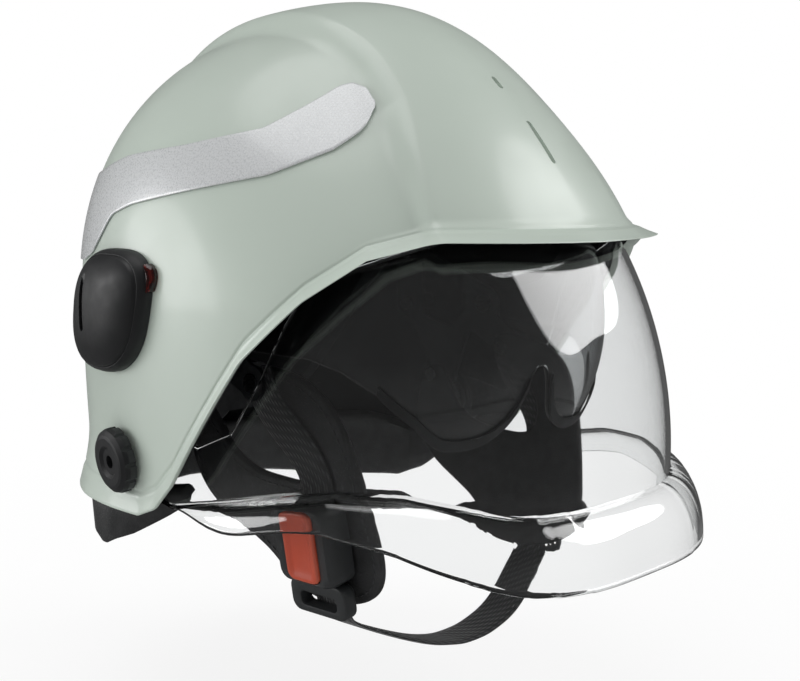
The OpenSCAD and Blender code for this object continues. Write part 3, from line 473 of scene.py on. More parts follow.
def move(piece: bpy.types.Object, place: Callable[[np.ndarray], np.ndarray]) -> bpy.types.Object:
    """Moves every point of a piece, in millimetres, and keeps its object at the origin.

    Args:
        piece: the piece.
        place: gives the new points for the old ones.

    Returns:
        The same piece.
    """
    spots = np.zeros(len(piece.data.vertices) * 3)
    piece.data.vertices.foreach_get("co", spots)
    moved = place(spots.reshape(-1, 3) / MM) * MM
    piece.data.vertices.foreach_set("co", moved.ravel())
    piece.data.update()
    return piece


def mirrored(piece: bpy.types.Object, side: Side) -> bpy.types.Object:
    """Turns a right-hand piece into the one for this side.

    Args:
        piece: the right-hand piece.
        side: the side of the helmet.

    Returns:
        The same piece.
    """
    if side is Side.LEFT:
        move(piece, lambda p: p * [-1, 1, 1])
        piece.data.flip_normals()
    return piece


def join(name: str, *parts: bpy.types.Object) -> bpy.types.Object:
    """Joins several meshes into one piece of that name.

    Args:
        name: the piece's name.
        *parts: the pieces, which are removed.

    Returns:
        The new piece.
    """
    work = bmesh.new()
    for part in parts:
        work.from_mesh(part.data)
    mesh = bpy.data.meshes.new(name)
    work.to_mesh(mesh)
    work.free()
    for part in parts:
        bpy.data.objects.remove(part)
    mesh.shade_smooth()
    mesh.set_sharp_from_angle(angle=math.radians(50))
    return link(bpy.data.objects.new(name, mesh))


def cut_out(piece: bpy.types.Object, cutter: bpy.types.Object) -> None:
    """Takes the cutter's form out of a piece, and removes the cutter.

    Args:
        piece: the piece.
        cutter: the form taken out.
    """
    cut = piece.modifiers.new("cut", "BOOLEAN")
    cut.object, cut.operation, cut.solver = cutter, "DIFFERENCE", "EXACT"
    mesh = finished_mesh(piece, piece.name)
    piece.modifiers.clear()
    piece.data = mesh
    bpy.data.objects.remove(cutter)
    mesh.shade_smooth()
    mesh.set_sharp_from_angle(angle=math.radians(40))


# Finishes


def hex_linear(code: str) -> tuple[float, float, float, float]:
    """Turns an sRGB hex colour into linear values with full alpha."""
    parts = [int(code[k:k + 2], 16) / 255 for k in (1, 3, 5)]
    return tuple(c / 12.92 if c <= 0.04045 else ((c + 0.055) / 1.055) ** 2.4 for c in parts) + (1.0,)


def add_node(tree: bpy.types.NodeTree, kind: str, values: dict | None = None,
             **settings: object) -> bpy.types.Node:
    """Adds a node with its settings, values and links.

    Args:
        tree: the tree that gets the node.
        kind: Blender's name of the node type.
        values: input name or number to a plain value, or to an output socket to link.
        **settings: attributes of the node.

    Returns:
        The new node.
    """
    node = tree.nodes.new(kind)
    for key, value in settings.items():
        setattr(node, key, value)
    for key, value in (values or {}).items():
        if isinstance(value, bpy.types.NodeSocket):
            tree.links.new(value, node.inputs[key])
        else:
            node.inputs[key].default_value = value
    return node


@dataclass(frozen=True)
class Finish:
    """A finish: its material name, plain colour and gloss. Kinds of surface add a pattern."""

    name: str
    colour: str
    roughness: float
    ior: float = 1.5
    metallic: float = 0.0

    def material(self) -> bpy.types.Material:
        """Builds the material once, and returns it.

        Returns:
            The material.
        """
        found = bpy.data.materials.get(self.name)
        if found:
            return found
        made = bpy.data.materials.new(self.name)
        made.use_nodes = True
        made.diffuse_color = hex_linear(self.colour)
        tree = made.node_tree
        shader = tree.nodes["Principled BSDF"]
        for key, value in {"Base Color": hex_linear(self.colour), "Roughness": self.roughness,
                           "IOR": self.ior, "Metallic": self.metallic}.items():
            shader.inputs[key].default_value = value
        self.pattern(tree, shader)
        return made

    def pattern(self, tree: bpy.types.NodeTree, shader: bpy.types.Node) -> None:
        """Adds the surface's own pattern; a plain finish has none."""

    def place(self, tree: bpy.types.NodeTree) -> bpy.types.NodeSocket:
        """Object coordinates, in metres."""
        return add_node(tree, "ShaderNodeTexCoord").outputs["Object"]

    def grain(self, tree: bpy.types.NodeTree, size: float, detail: float = 2) -> bpy.types.NodeSocket:
        """Noise whose grains are about size millimetres across."""
        return add_node(tree, "ShaderNodeTexNoise", {"Vector": self.place(tree), "Scale": 1 / (size * MM),
                                                     "Detail": detail}).outputs["Fac"]

    def spread(self, tree: bpy.types.NodeTree, value: bpy.types.NodeSocket, low: float, high: float,
               start: float = 0.3, stop: float = 0.7) -> bpy.types.NodeSocket:
        """Maps a pattern's values from start and stop to low and high."""
        return add_node(tree, "ShaderNodeMapRange", {"Value": value, "From Min": start, "From Max": stop,
                                                     "To Min": low, "To Max": high}).outputs["Result"]

    def tone(self, tree: bpy.types.NodeTree, shader: bpy.types.Node, share: bpy.types.NodeSocket,
             other: str) -> None:
        """Mixes another colour in by share and gives it to the shader.

        Args:
            tree: the material's node tree.
            shader: the material's main shader.
            share: the other colour's share.
            other: the other colour.
        """
        mix = add_node(tree, "ShaderNodeMix", {0: share, 6: hex_linear(self.colour), 7: hex_linear(other)},
                       data_type="RGBA")
        tree.links.new(mix.outputs[2], shader.inputs["Base Color"])

    def gloss(self, tree: bpy.types.NodeTree, shader: bpy.types.Node, value: bpy.types.NodeSocket, low: float,
              high: float, *ends: float) -> None:
        """Lets a pattern change the roughness, from low less to high more than the plain one.

        Args:
            tree: the material's node tree.
            shader: the material's main shader.
            value: the pattern.
            low: what the lowest value adds.
            high: what the highest value adds.
            *ends: the pattern's lowest and highest value.
        """
        rough = self.spread(tree, value, self.roughness + low, self.roughness + high, *ends)
        tree.links.new(rough, shader.inputs["Roughness"])

    def bump(self, tree: bpy.types.NodeTree, shader: bpy.types.Node, height: bpy.types.NodeSocket,
             depth: float, strength: float,
             under: bpy.types.NodeSocket | None = None) -> bpy.types.NodeSocket:
        """Raises the surface by the height pattern, depth millimetres at most.

        Args:
            tree: the material's node tree.
            shader: the material's main shader.
            height: the pattern.
            depth: height of the relief in millimetres.
            strength: how strongly it shows.
            under: normals of a coarser relief below it.

        Returns:
            The normals with the relief.
        """
        values: dict = {"Height": height, "Distance": depth * MM, "Strength": strength}
        if under is not None:
            values["Normal"] = under
        made = add_node(tree, "ShaderNodeBump", values).outputs["Normal"]
        tree.links.new(made, shader.inputs["Normal"])
        return made


@dataclass(frozen=True)
class ShellLacquer(Finish):
    """Sprayed lacquer on a moulded thermoplastic shell: satin gloss with a faint orange peel."""

    shade: str = "#b2bcb3"

    def pattern(self, tree: bpy.types.NodeTree, shader: bpy.types.Node) -> None:
        """Soft clouds of tone, an uneven gloss and a fine peel.

        Args:
            tree: the material's node tree.
            shader: the material's main shader.
        """
        self.tone(tree, shader, self.spread(tree, self.grain(tree, 90, 3), 0, 0.35), self.shade)
        self.gloss(tree, shader, self.grain(tree, 22, 4), -0.06, 0.08)
        # Real peel is about half a millimetre wide; drawn at 1.6 mm so that it shows
        peel = self.bump(tree, shader, self.grain(tree, 1.6, 1), 0.02, 0.5)
        self.bump(tree, shader, self.grain(tree, 45, 2), 0.25, 0.25, peel)
        shader.inputs["Coat Weight"].default_value = 0.35
        shader.inputs["Coat Roughness"].default_value = 0.16


@dataclass(frozen=True)
class SparkPlastic(Finish):
    """Glass-filled nylon from a spark-eroded mould: dull, even grain that polishes where rubbed."""

    grain_size: float = 0.7
    depth: float = 0.05
    worn: str = "#3c3e40"

    def pattern(self, tree: bpy.types.NodeTree, shader: bpy.types.Node) -> None:
        """Fine grain, uneven gloss and paler wear along the convex edges.

        Args:
            tree: the material's node tree.
            shader: the material's main shader.
        """
        self.bump(tree, shader, self.grain(tree, self.grain_size, 2), self.depth, 0.6)
        self.gloss(tree, shader, self.grain(tree, 9, 4), -0.07, 0.1)
        edge = add_node(tree, "ShaderNodeNewGeometry").outputs["Pointiness"]
        rubbed = self.spread(tree, edge, 0, 0.55, 0.52, 0.6)
        patches = self.spread(tree, self.grain(tree, 5, 4), 0.2, 1)
        wear = add_node(tree, "ShaderNodeMath", {0: rubbed, 1: patches}, operation="MULTIPLY").outputs[0]
        self.tone(tree, shader, wear, self.worn)


@dataclass(frozen=True)
class BeadedFilm(Finish):
    """Retroreflective film: silvered beads under a clear top layer, in fine honeycomb cells."""

    cell: float = 1.3

    def pattern(self, tree: bpy.types.NodeTree, shader: bpy.types.Node) -> None:
        """Cells with raised seams, each a slightly different grey.

        Args:
            tree: the material's node tree.
            shader: the material's main shader.
        """
        sizes = {"Vector": self.place(tree), "Scale": 1 / (self.cell * MM), "Randomness": 0.35}
        cells = add_node(tree, "ShaderNodeTexVoronoi", sizes, feature="DISTANCE_TO_EDGE")
        seams = self.spread(tree, cells.outputs["Distance"], 1, 0, 0.02, 0.1)
        self.tone(tree, shader, seams, "#c2c5c6")
        self.bump(tree, shader, seams, 0.015, 0.35)
        self.gloss(tree, shader, self.grain(tree, 0.8, 1), -0.1, 0.12)
        shader.inputs["Coat Weight"].default_value = 0.5
        shader.inputs["Coat Roughness"].default_value = 0.12


@dataclass(frozen=True)
class LensPlastic(Finish):
    """Moulded clear polycarbonate, tinted or plain, that light passes through."""

    haze: float = 0.02

    def pattern(self, tree: bpy.types.NodeTree, shader: bpy.types.Node) -> None:
        """Lets light through, with a trace of wipe marks in the gloss.

        Args:
            tree: the material's node tree.
            shader: the material's main shader.
        """
        shader.inputs["Transmission Weight"].default_value = 1.0
        self.gloss(tree, shader, self.grain(tree, 14, 5), 0, self.haze, 0.4, 0.8)


@dataclass(frozen=True)
class Rubber(Finish):
    """Moulded EPDM rubber: matt, slightly dusty."""

    def pattern(self, tree: bpy.types.NodeTree, shader: bpy.types.Node) -> None:
        """A fine matt skin with dusty patches.

        Args:
            tree: the material's node tree.
            shader: the material's main shader.
        """
        self.bump(tree, shader, self.grain(tree, 0.9, 3), 0.04, 0.5)
        self.tone(tree, shader, self.spread(tree, self.grain(tree, 12, 5), 0, 0.5), "#35373a")


@dataclass(frozen=True)
class Leather(Finish):
    """Full-grain leather, dyed through: pebbled grain with fine creases and a soft sheen."""

    pebble: float = 1.3

    def pattern(self, tree: bpy.types.NodeTree, shader: bpy.types.Node) -> None:
        """Pebbles parted by creases, over long soft folds.

        Args:
            tree: the material's node tree.
            shader: the material's main shader.
        """
        sizes = {"Vector": self.place(tree), "Scale": 1 / (self.pebble * MM)}
        cells = add_node(tree, "ShaderNodeTexVoronoi", sizes, feature="DISTANCE_TO_EDGE").outputs["Distance"]
        raised = self.spread(tree, cells, 0, 1, 0.0, 0.35)
        under = self.bump(tree, shader, self.grain(tree, 16, 3), 0.5, 0.35)
        self.bump(tree, shader, raised, 0.12, 0.6, under)
        self.tone(tree, shader, self.spread(tree, self.grain(tree, 7, 4), 0, 0.6), "#3a3a3b")
        self.gloss(tree, shader, cells, 0.12, -0.08, 0, 0.4)


@dataclass(frozen=True)
class Webbing(Finish):
    """Polyester webbing in a broken twill: rows of warp ribs with a slanted weft."""

    rib: float = 1.7

    def pattern(self, tree: bpy.types.NodeTree, shader: bpy.types.Node) -> None:
        """Ribs along the strap crossed by slanted picks, read from the strap's own map.

        Args:
            tree: the material's node tree.
            shader: the material's main shader.
        """
        spot = add_node(tree, "ShaderNodeUVMap", uv_map="cloth").outputs["UV"]
        scale = WAVE_UNIT / (self.rib * UV_UNIT)
        ribs = add_node(tree, "ShaderNodeTexWave", {"Vector": spot, "Scale": scale}, bands_direction="X")
        slant = {"Vector": spot, "Scale": scale * 0.62, "Distortion": 0.6}
        picks = add_node(tree, "ShaderNodeTexWave", slant, bands_direction="DIAGONAL")
        both = {0: ribs.outputs["Fac"], 1: picks.outputs["Fac"]}
        weave = add_node(tree, "ShaderNodeMath", both, operation="MULTIPLY").outputs[0]
        self.bump(tree, shader, weave, 0.35, 0.9)
        # Painted highlight on the raised weave and painted shade in its hollows: the paler colour follows the
        # bump height
        self.tone(tree, shader, self.spread(tree, weave, 0, 0.7, 0.1, 0.9), "#4a4b4d")
        shader.inputs["Sheen Weight"].default_value = 0.25


@dataclass(frozen=True)
class Knit(Finish):
    """Knitted spacer fabric over foam: small loops in straight courses, with a soft nap."""

    loop: float = 1.5
    # Paler colour painted on the loop tops: a painted highlight
    light: str = "#38393b"

    def pattern(self, tree: bpy.types.NodeTree, shader: bpy.types.Node) -> None:
        """Loops where three sets of waves cross, so that they lie on every side alike.

        Args:
            tree: the material's node tree.
            shader: the material's main shader.
        """
        place = self.place(tree)
        height = None
        sizes = {"Vector": place, "Scale": WAVE_UNIT / (self.loop * MM), "Distortion": 0.4}
        for direction in ("X", "Y", "Z"):
            wave = add_node(tree, "ShaderNodeTexWave", sizes, bands_direction=direction).outputs["Fac"]
            if height is None:
                height = wave
            else:
                height = add_node(tree, "ShaderNodeMath", {0: height, 1: wave}, operation="ADD").outputs[0]
        level = self.spread(tree, height, 0, 1, 0.6, 2.4)
        self.bump(tree, shader, level, 0.25, 0.8)
        # Painted highlight on the loop tops and painted shade in the hollows: the paler colour follows the
        # bump height
        self.tone(tree, shader, level, self.light)
        shader.inputs["Sheen Weight"].default_value = 0.3


@dataclass(frozen=True)
class BrushedSteel(Finish):
    """Stainless steel, turned and brushed: fine lines across the gloss."""

    def pattern(self, tree: bpy.types.NodeTree, shader: bpy.types.Node) -> None:
        """Brush lines along X in gloss and height.

        Args:
            tree: the material's node tree.
            shader: the material's main shader.
        """
        stretch = add_node(tree, "ShaderNodeMapping", {"Vector": self.place(tree), "Scale": (60, 2500, 2500)})
        noise = add_node(tree, "ShaderNodeTexNoise", {"Vector": stretch.outputs[0], "Scale": 1.0})
        lines = noise.outputs["Fac"]
        self.gloss(tree, shader, lines, -0.08, 0.14)
        self.bump(tree, shader, lines, 0.01, 0.4)


SHELL_PAINT = ShellLacquer("satin_lacquer_on_moulded_shell", "#bcc7bd", 0.36)
SHELL_LINING = Finish("flocked_black_lining", "#141516", 0.9)
COVER_NYLON = SparkPlastic("spark_eroded_black_nylon", "#191a1c", 0.5)
BUCKLE_NYLON = SparkPlastic("glass_filled_nylon_buckle", "#2b2d2e", 0.42, grain_size=0.6)
BAND_NYLON = SparkPlastic("polyethylene_band", "#1d1f20", 0.45, depth=0.03)
FILM = BeadedFilm("retroreflective_film", "#d0d2d3", 0.3, metallic=0.12)
RED_LENS = LensPlastic("red_polycarbonate_lens", "#a8261c", 0.12, ior=1.585)
SHIELD_CLEAR = LensPlastic("clear_coated_polycarbonate", "#fcfdfd", 0.015, ior=1.585)
VISOR_SMOKE = LensPlastic("smoke_tinted_polycarbonate", "#b4b6b7", 0.02, ior=1.585)
SEAL_RUBBER = Rubber("moulded_epdm_rubber", "#232425", 0.6)
# The knit's light colour is a painted highlight on the loop tops
LINER_CLOTH = Knit("aramid_lining_cloth", "#151516", 0.85, loop=2.0, light="#252527")
PAD_KNIT = Knit("knitted_spacer_fabric", "#242527", 0.82)
YOKE_LEATHER = Leather("dyed_full_grain_leather", "#272829", 0.46)
WEB_POLYESTER = Webbing("woven_polyester_webbing", "#2a2b2c", 0.7)
THREAD = Finish("waxed_polyester_thread", "#3b3c3d", 0.55)
STEEL = BrushedSteel("brushed_stainless_steel", "#b4b7b8", 0.3, metallic=1.0)
BUTTON_POM = SparkPlastic("moulded_orange_acetal", "#b3472f", 0.34, depth=0.02, worn="#c26a52")


def dress(piece: bpy.types.Object, finish: Finish, body: Body | None, slot: str, *nodes: str) -> None:
    """Gives a piece its finish and its body, and hides the frame nodes that it replaces.

    Args:
        piece: the finished mesh.
        finish: its finish.
        body: the body it rides on, or None for a piece that bends between two, which is then left on no body.
        slot: not used.
        *nodes: frame nodes that it replaces.
    """
    piece.data.materials.clear()
    piece.data.materials.append(finish.material())
    if body is not None:
        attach(piece, body.value)
    if nodes:
        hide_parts(*nodes)
    log.info("%s: %d faces, %s", piece.name, len(piece.data.polygons), finish.name)


# Geometry node trees for what repeats


def new_tree(name: str, sizes: dict[str, float]) -> tuple[bpy.types.NodeTree, bpy.types.Node, bpy.types.Node]:
    """Starts a geometry tree with one geometry input and named sizes.

    Args:
        name: the tree's name.
        sizes: name and default of each size input.

    Returns:
        The tree, its input node and its output node.
    """
    tree = bpy.data.node_groups.new(name, "GeometryNodeTree")
    tree.interface.new_socket("Geometry", in_out="INPUT", socket_type="NodeSocketGeometry")
    for key, value in sizes.items():
        tree.interface.new_socket(key, in_out="INPUT", socket_type="NodeSocketFloat").default_value = value
    tree.interface.new_socket("Geometry", in_out="OUTPUT", socket_type="NodeSocketGeometry")
    return tree, add_node(tree, "NodeGroupInput"), add_node(tree, "NodeGroupOutput")


def run_tree(name: str, source: bpy.types.Object, tree: bpy.types.NodeTree,
             sizes: dict[str, float]) -> bpy.types.Object:
    """Runs a geometry tree on a source and returns its result as a plain mesh piece.

    Args:
        name: the new piece's name.
        source: the object the tree starts from; it is removed.
        tree: the geometry tree.
        sizes: value of each named size.

    Returns:
        The new piece.
    """
    modifier = source.modifiers.new("form", "NODES")
    modifier.node_group = tree
    for item in tree.interface.items_tree:
        if item.name in sizes and item.in_out == "INPUT":
            modifier[item.identifier] = sizes[item.name]
    mesh = finished_mesh(source, name)
    bpy.data.objects.remove(source)
    mesh.shade_smooth()
    return link(bpy.data.objects.new(name, mesh))


def stitch_tree() -> bpy.types.NodeTree:
    """Tree that lays thread stitches along the edges of its input.

    Returns:
        The tree, made once.
    """
    found = bpy.data.node_groups.get("stitches")
    if found:
        return found
    tree, start, end = new_tree("stitches", {"Spacing": 0.004, "Length": 0.0028, "Thread": 0.0007})
    line = add_node(tree, "GeometryNodeMeshToCurve", {"Mesh": start.outputs["Geometry"]})
    along = {"Curve": line.outputs[0], "Length": start.outputs["Spacing"]}
    spots = add_node(tree, "GeometryNodeCurveToPoints", along, mode="LENGTH")
    thread = start.outputs["Thread"]
    size = add_node(tree, "ShaderNodeCombineXYZ", {0: thread, 1: thread, 2: start.outputs["Length"]})
    ball = add_node(tree, "GeometryNodeMeshUVSphere", {"Segments": 8, "Rings": 6, "Radius": 0.5})
    copies = add_node(tree, "GeometryNodeInstanceOnPoints", {
        "Points": spots.outputs["Points"], "Instance": ball.outputs[0], "Rotation": spots.outputs["Rotation"],
        "Scale": size.outputs[0]})
    real = add_node(tree, "GeometryNodeRealizeInstances", {0: copies.outputs[0]})
    dressed = {"Geometry": real.outputs[0], "Material": THREAD.material()}
    tree.links.new(add_node(tree, "GeometryNodeSetMaterial", dressed).outputs[0], end.inputs[0])
    return tree


def stitches(name: str, path: np.ndarray, spacing: float = 4.0, length: float = 2.8,
             thread: float = 0.7) -> bpy.types.Object:
    """Lays a row of stitches along a closed path.

    Args:
        name: the new piece's name.
        path: points of the seam in millimetres.
        spacing: distance from stitch to stitch in millimetres.
        length: length of one stitch.
        thread: thickness of the thread.

    Returns:
        The new piece.
    """
    edges = [(k, (k + 1) % len(path)) for k in range(len(path))]
    mesh = bpy.data.meshes.new(name + ".seam")
    mesh.from_pydata((path * MM).tolist(), edges, [])
    source = link(bpy.data.objects.new(name + ".seam", mesh))
    sizes = {"Spacing": spacing * MM, "Length": length * MM, "Thread": thread * MM}
    return run_tree(name, source, stitch_tree(), sizes)


# The helmet's forms


def aim(phi: np.ndarray, psi: np.ndarray) -> np.ndarray:
    """Unit direction at angle phi round from the front and psi down from the top."""
    f, s = np.radians(phi), np.radians(psi)
    return np.stack([np.sin(s) * np.sin(f), -np.sin(s) * np.cos(f), np.cos(s) + 0 * f], -1)


def psi_of(radius: Callable[[np.ndarray], np.ndarray], phi: np.ndarray, z: np.ndarray) -> np.ndarray:
    """Angle from the top at which a wall of that radius is at height z.

    Args:
        radius: gives the wall's distance along unit directions.
        phi: angle round from the front, in degrees.
        z: height in millimetres.

    Returns:
        The angles, in degrees.
    """
    phi, z = np.broadcast_arrays(np.asarray(phi, float), np.asarray(z, float))

    def height(psi: np.ndarray) -> np.ndarray:
        """Height of the wall at angle psi."""
        u = aim(phi, psi)
        return u[..., 2] * radius(u)

    return angle_at(height, z)


@dataclass
class ShellForm:
    """The outer shell's surface, with its crest, brim and turned-out edge."""

    half_w: float = 126
    front: float = 138
    rear: float = 143
    top: float = 134
    wall: float = 3.5
    crest_rise: float = 6.5
    keel_rise: float = 1.5
    brim_z: float = 29
    nape_drop: float = 93
    plan_n: float = 2.16
    brow_n: float = 1.55
    crown_n: float = 2.2
    skirt_n: float = 2.2
    skirt_depth: float = 340
    rim: Table = ((0, 0), (20, -0.004), (33, -0.008), (45, 0.05), (56, 0.185), (68, 0.39), (78, 0.64),
                  (87, 0.86), (93, 0.96), (99, 1), (180, 1))
    lip_out: Table = ((0, 3.5), (20, 4.5), (35, 5.5), (55, 5), (70, 3), (84, 2), (98, 3), (110, 7),
                      (122, 10.5), (150, 11.5), (180, 11))
    lip_run: Table = ((0, 9), (60, 7), (100, 10), (120, 30), (180, 36))
    crest_w: Table = ((0, 74), (14, 70), (25, 64.5), (38, 57), (50, 49), (63, 45), (76, 43), (90, 41),
                      (110, 38), (135, 34), (160, 30), (180, 27))
    crest_ramp: Table = ((0, 4), (16, 5), (35, 11), (48, 14), (62, 13), (90, 14), (135, 16), (180, 16))
    crest_h: Table = ((0, 0.7), (20, 0.75), (60, 0.9), (90, 1), (120, 0.9), (150, 0.55), (168, 0.1), (180, 0))
    slots: Table = ((49, 8), (33, 24))

    def roundness(self, z: np.ndarray, behind: np.ndarray) -> np.ndarray:
        """Power of the upright section: flat over the brow, full at the crown, even in the skirt."""
        above = self.brow_n + (self.crown_n - self.brow_n) * smooth_step(-0.75, 0.45, behind)
        return np.where(z > 0, above, self.skirt_n)

    def radius(self, u: np.ndarray) -> np.ndarray:
        """Distance of the plain shell along the directions u.

        Args:
            u: unit directions.

        Returns:
            The distances.
        """
        x, y, z = np.abs(u[..., 0]), u[..., 1], u[..., 2]
        reach = np.where(y < 0, self.front, self.rear)
        height = np.where(z > 0, self.top, self.skirt_depth)
        power = self.roundness(z, y)
        plan = (x / self.half_w) ** self.plan_n + (np.abs(y) / reach) ** self.plan_n
        return (plan ** (power / self.plan_n) + (np.abs(z) / height) ** power) ** (-1 / power)

    def crest(self, p: np.ndarray) -> np.ndarray:
        """Rise of the crest at points of the plain shell.

        Args:
            p: points in millimetres.

        Returns:
            The rises in millimetres.
        """
        behind = (p[..., 1] > 0) & (p[..., 2] < 0)
        over = np.where(behind, 180, np.degrees(np.arctan2(p[..., 2], -p[..., 1])))
        x = np.abs(p[..., 0])
        w, s = look_up(self.crest_w, over), look_up(self.crest_ramp, over)
        rise = self.crest_rise * look_up(self.crest_h, over) * (1 - smooth_step(0, 1, (x - w) / s))
        return rise + self.keel_rise * np.maximum(0, 1 - x / w) * (1 - smooth_step(50, 75, over))

    def rim_z(self, phi: np.ndarray) -> np.ndarray:
        """Height of the shell's edge at angle phi."""
        return self.brim_z + (-self.nape_drop - self.brim_z) * look_up(self.rim, fold(phi))

    def point(self, phi: np.ndarray, psi: np.ndarray, off: np.ndarray | float = 0) -> np.ndarray:
        """Point of the shell at angles phi and psi, moved out by off.

        Args:
            phi: angle round from the front, in degrees.
            psi: angle down from the top, in degrees.
            off: distance moved out, in millimetres.

        Returns:
            The points in millimetres.
        """
        phi, psi = np.broadcast_arrays(np.asarray(phi, float), np.asarray(psi, float))
        u = aim(phi, psi)
        r = self.radius(u)
        p = u * r[..., None]
        run = np.maximum(0, 1 - (p[..., 2] - self.rim_z(phi)) / look_up(self.lip_run, fold(phi)))
        out = r + self.crest(p) + look_up(self.lip_out, fold(phi)) * run * run + off
        return u * out[..., None]

    def polar_at(self, phi: np.ndarray, z: np.ndarray, off: np.ndarray | float = 0) -> np.ndarray:
        """Angle from the top at which the surface, moved out by off, is at height z."""
        phi, z = np.broadcast_arrays(np.asarray(phi, float), np.asarray(z, float))
        return angle_at(lambda psi: self.point(phi, psi, off)[..., 2], z)

    def at_height(self, phi: np.ndarray, z: np.ndarray, off: np.ndarray | float = 0) -> np.ndarray:
        """Point of the surface at angle phi and height z, moved out by off."""
        return self.point(phi, self.polar_at(phi, z, off), off)

    def side_x(self, y: np.ndarray, z: np.ndarray) -> np.ndarray:
        """Half width of the plain shell at points [y, z] of its side.

        Args:
            y: depth in millimetres.
            z: height in millimetres.

        Returns:
            The half widths.
        """
        y, z = np.asarray(y, float), np.asarray(z, float)
        reach = np.where(y < 0, self.front, self.rear)
        height = np.where(z > 0, self.top, self.skirt_depth)
        power = self.roundness(z, y / np.sqrt(self.half_w ** 2 + y * y + z * z))
        level = (1 - (np.abs(z) / height) ** power) ** (self.plan_n / power)
        return self.half_w * np.maximum(0, level - (np.abs(y) / reach) ** self.plan_n) ** (1 / self.plan_n)


@dataclass
class CavityForm:
    """The head cavity inside the liner, which the headband, the net and the pads follow."""

    half_w: float = 80
    front: float = 93
    rear: float = 102
    top: float = 84
    power: float = 2.1
    skirt: float = 230

    def radius(self, u: np.ndarray) -> np.ndarray:
        """Distance of the cavity's wall along the directions u.

        Args:
            u: unit directions.

        Returns:
            The distances.
        """
        x, y, z = np.abs(u[..., 0]), u[..., 1], u[..., 2]
        reach = np.where(y < 0, self.front, self.rear)
        height = np.where(z > 0, self.top, self.skirt)
        return ((x / self.half_w) ** self.power + (np.abs(y) / reach) ** self.power
                + (np.abs(z) / height) ** self.power) ** (-1 / self.power)

    def at_height(self, phi: np.ndarray, z: np.ndarray, off: np.ndarray | float = 0) -> np.ndarray:
        """Point of the wall at angle phi and height z, moved out by off."""
        u = aim(phi, psi_of(self.radius, phi, z))
        return u * (self.radius(u) + off)[..., None]


# Sub-assemblies


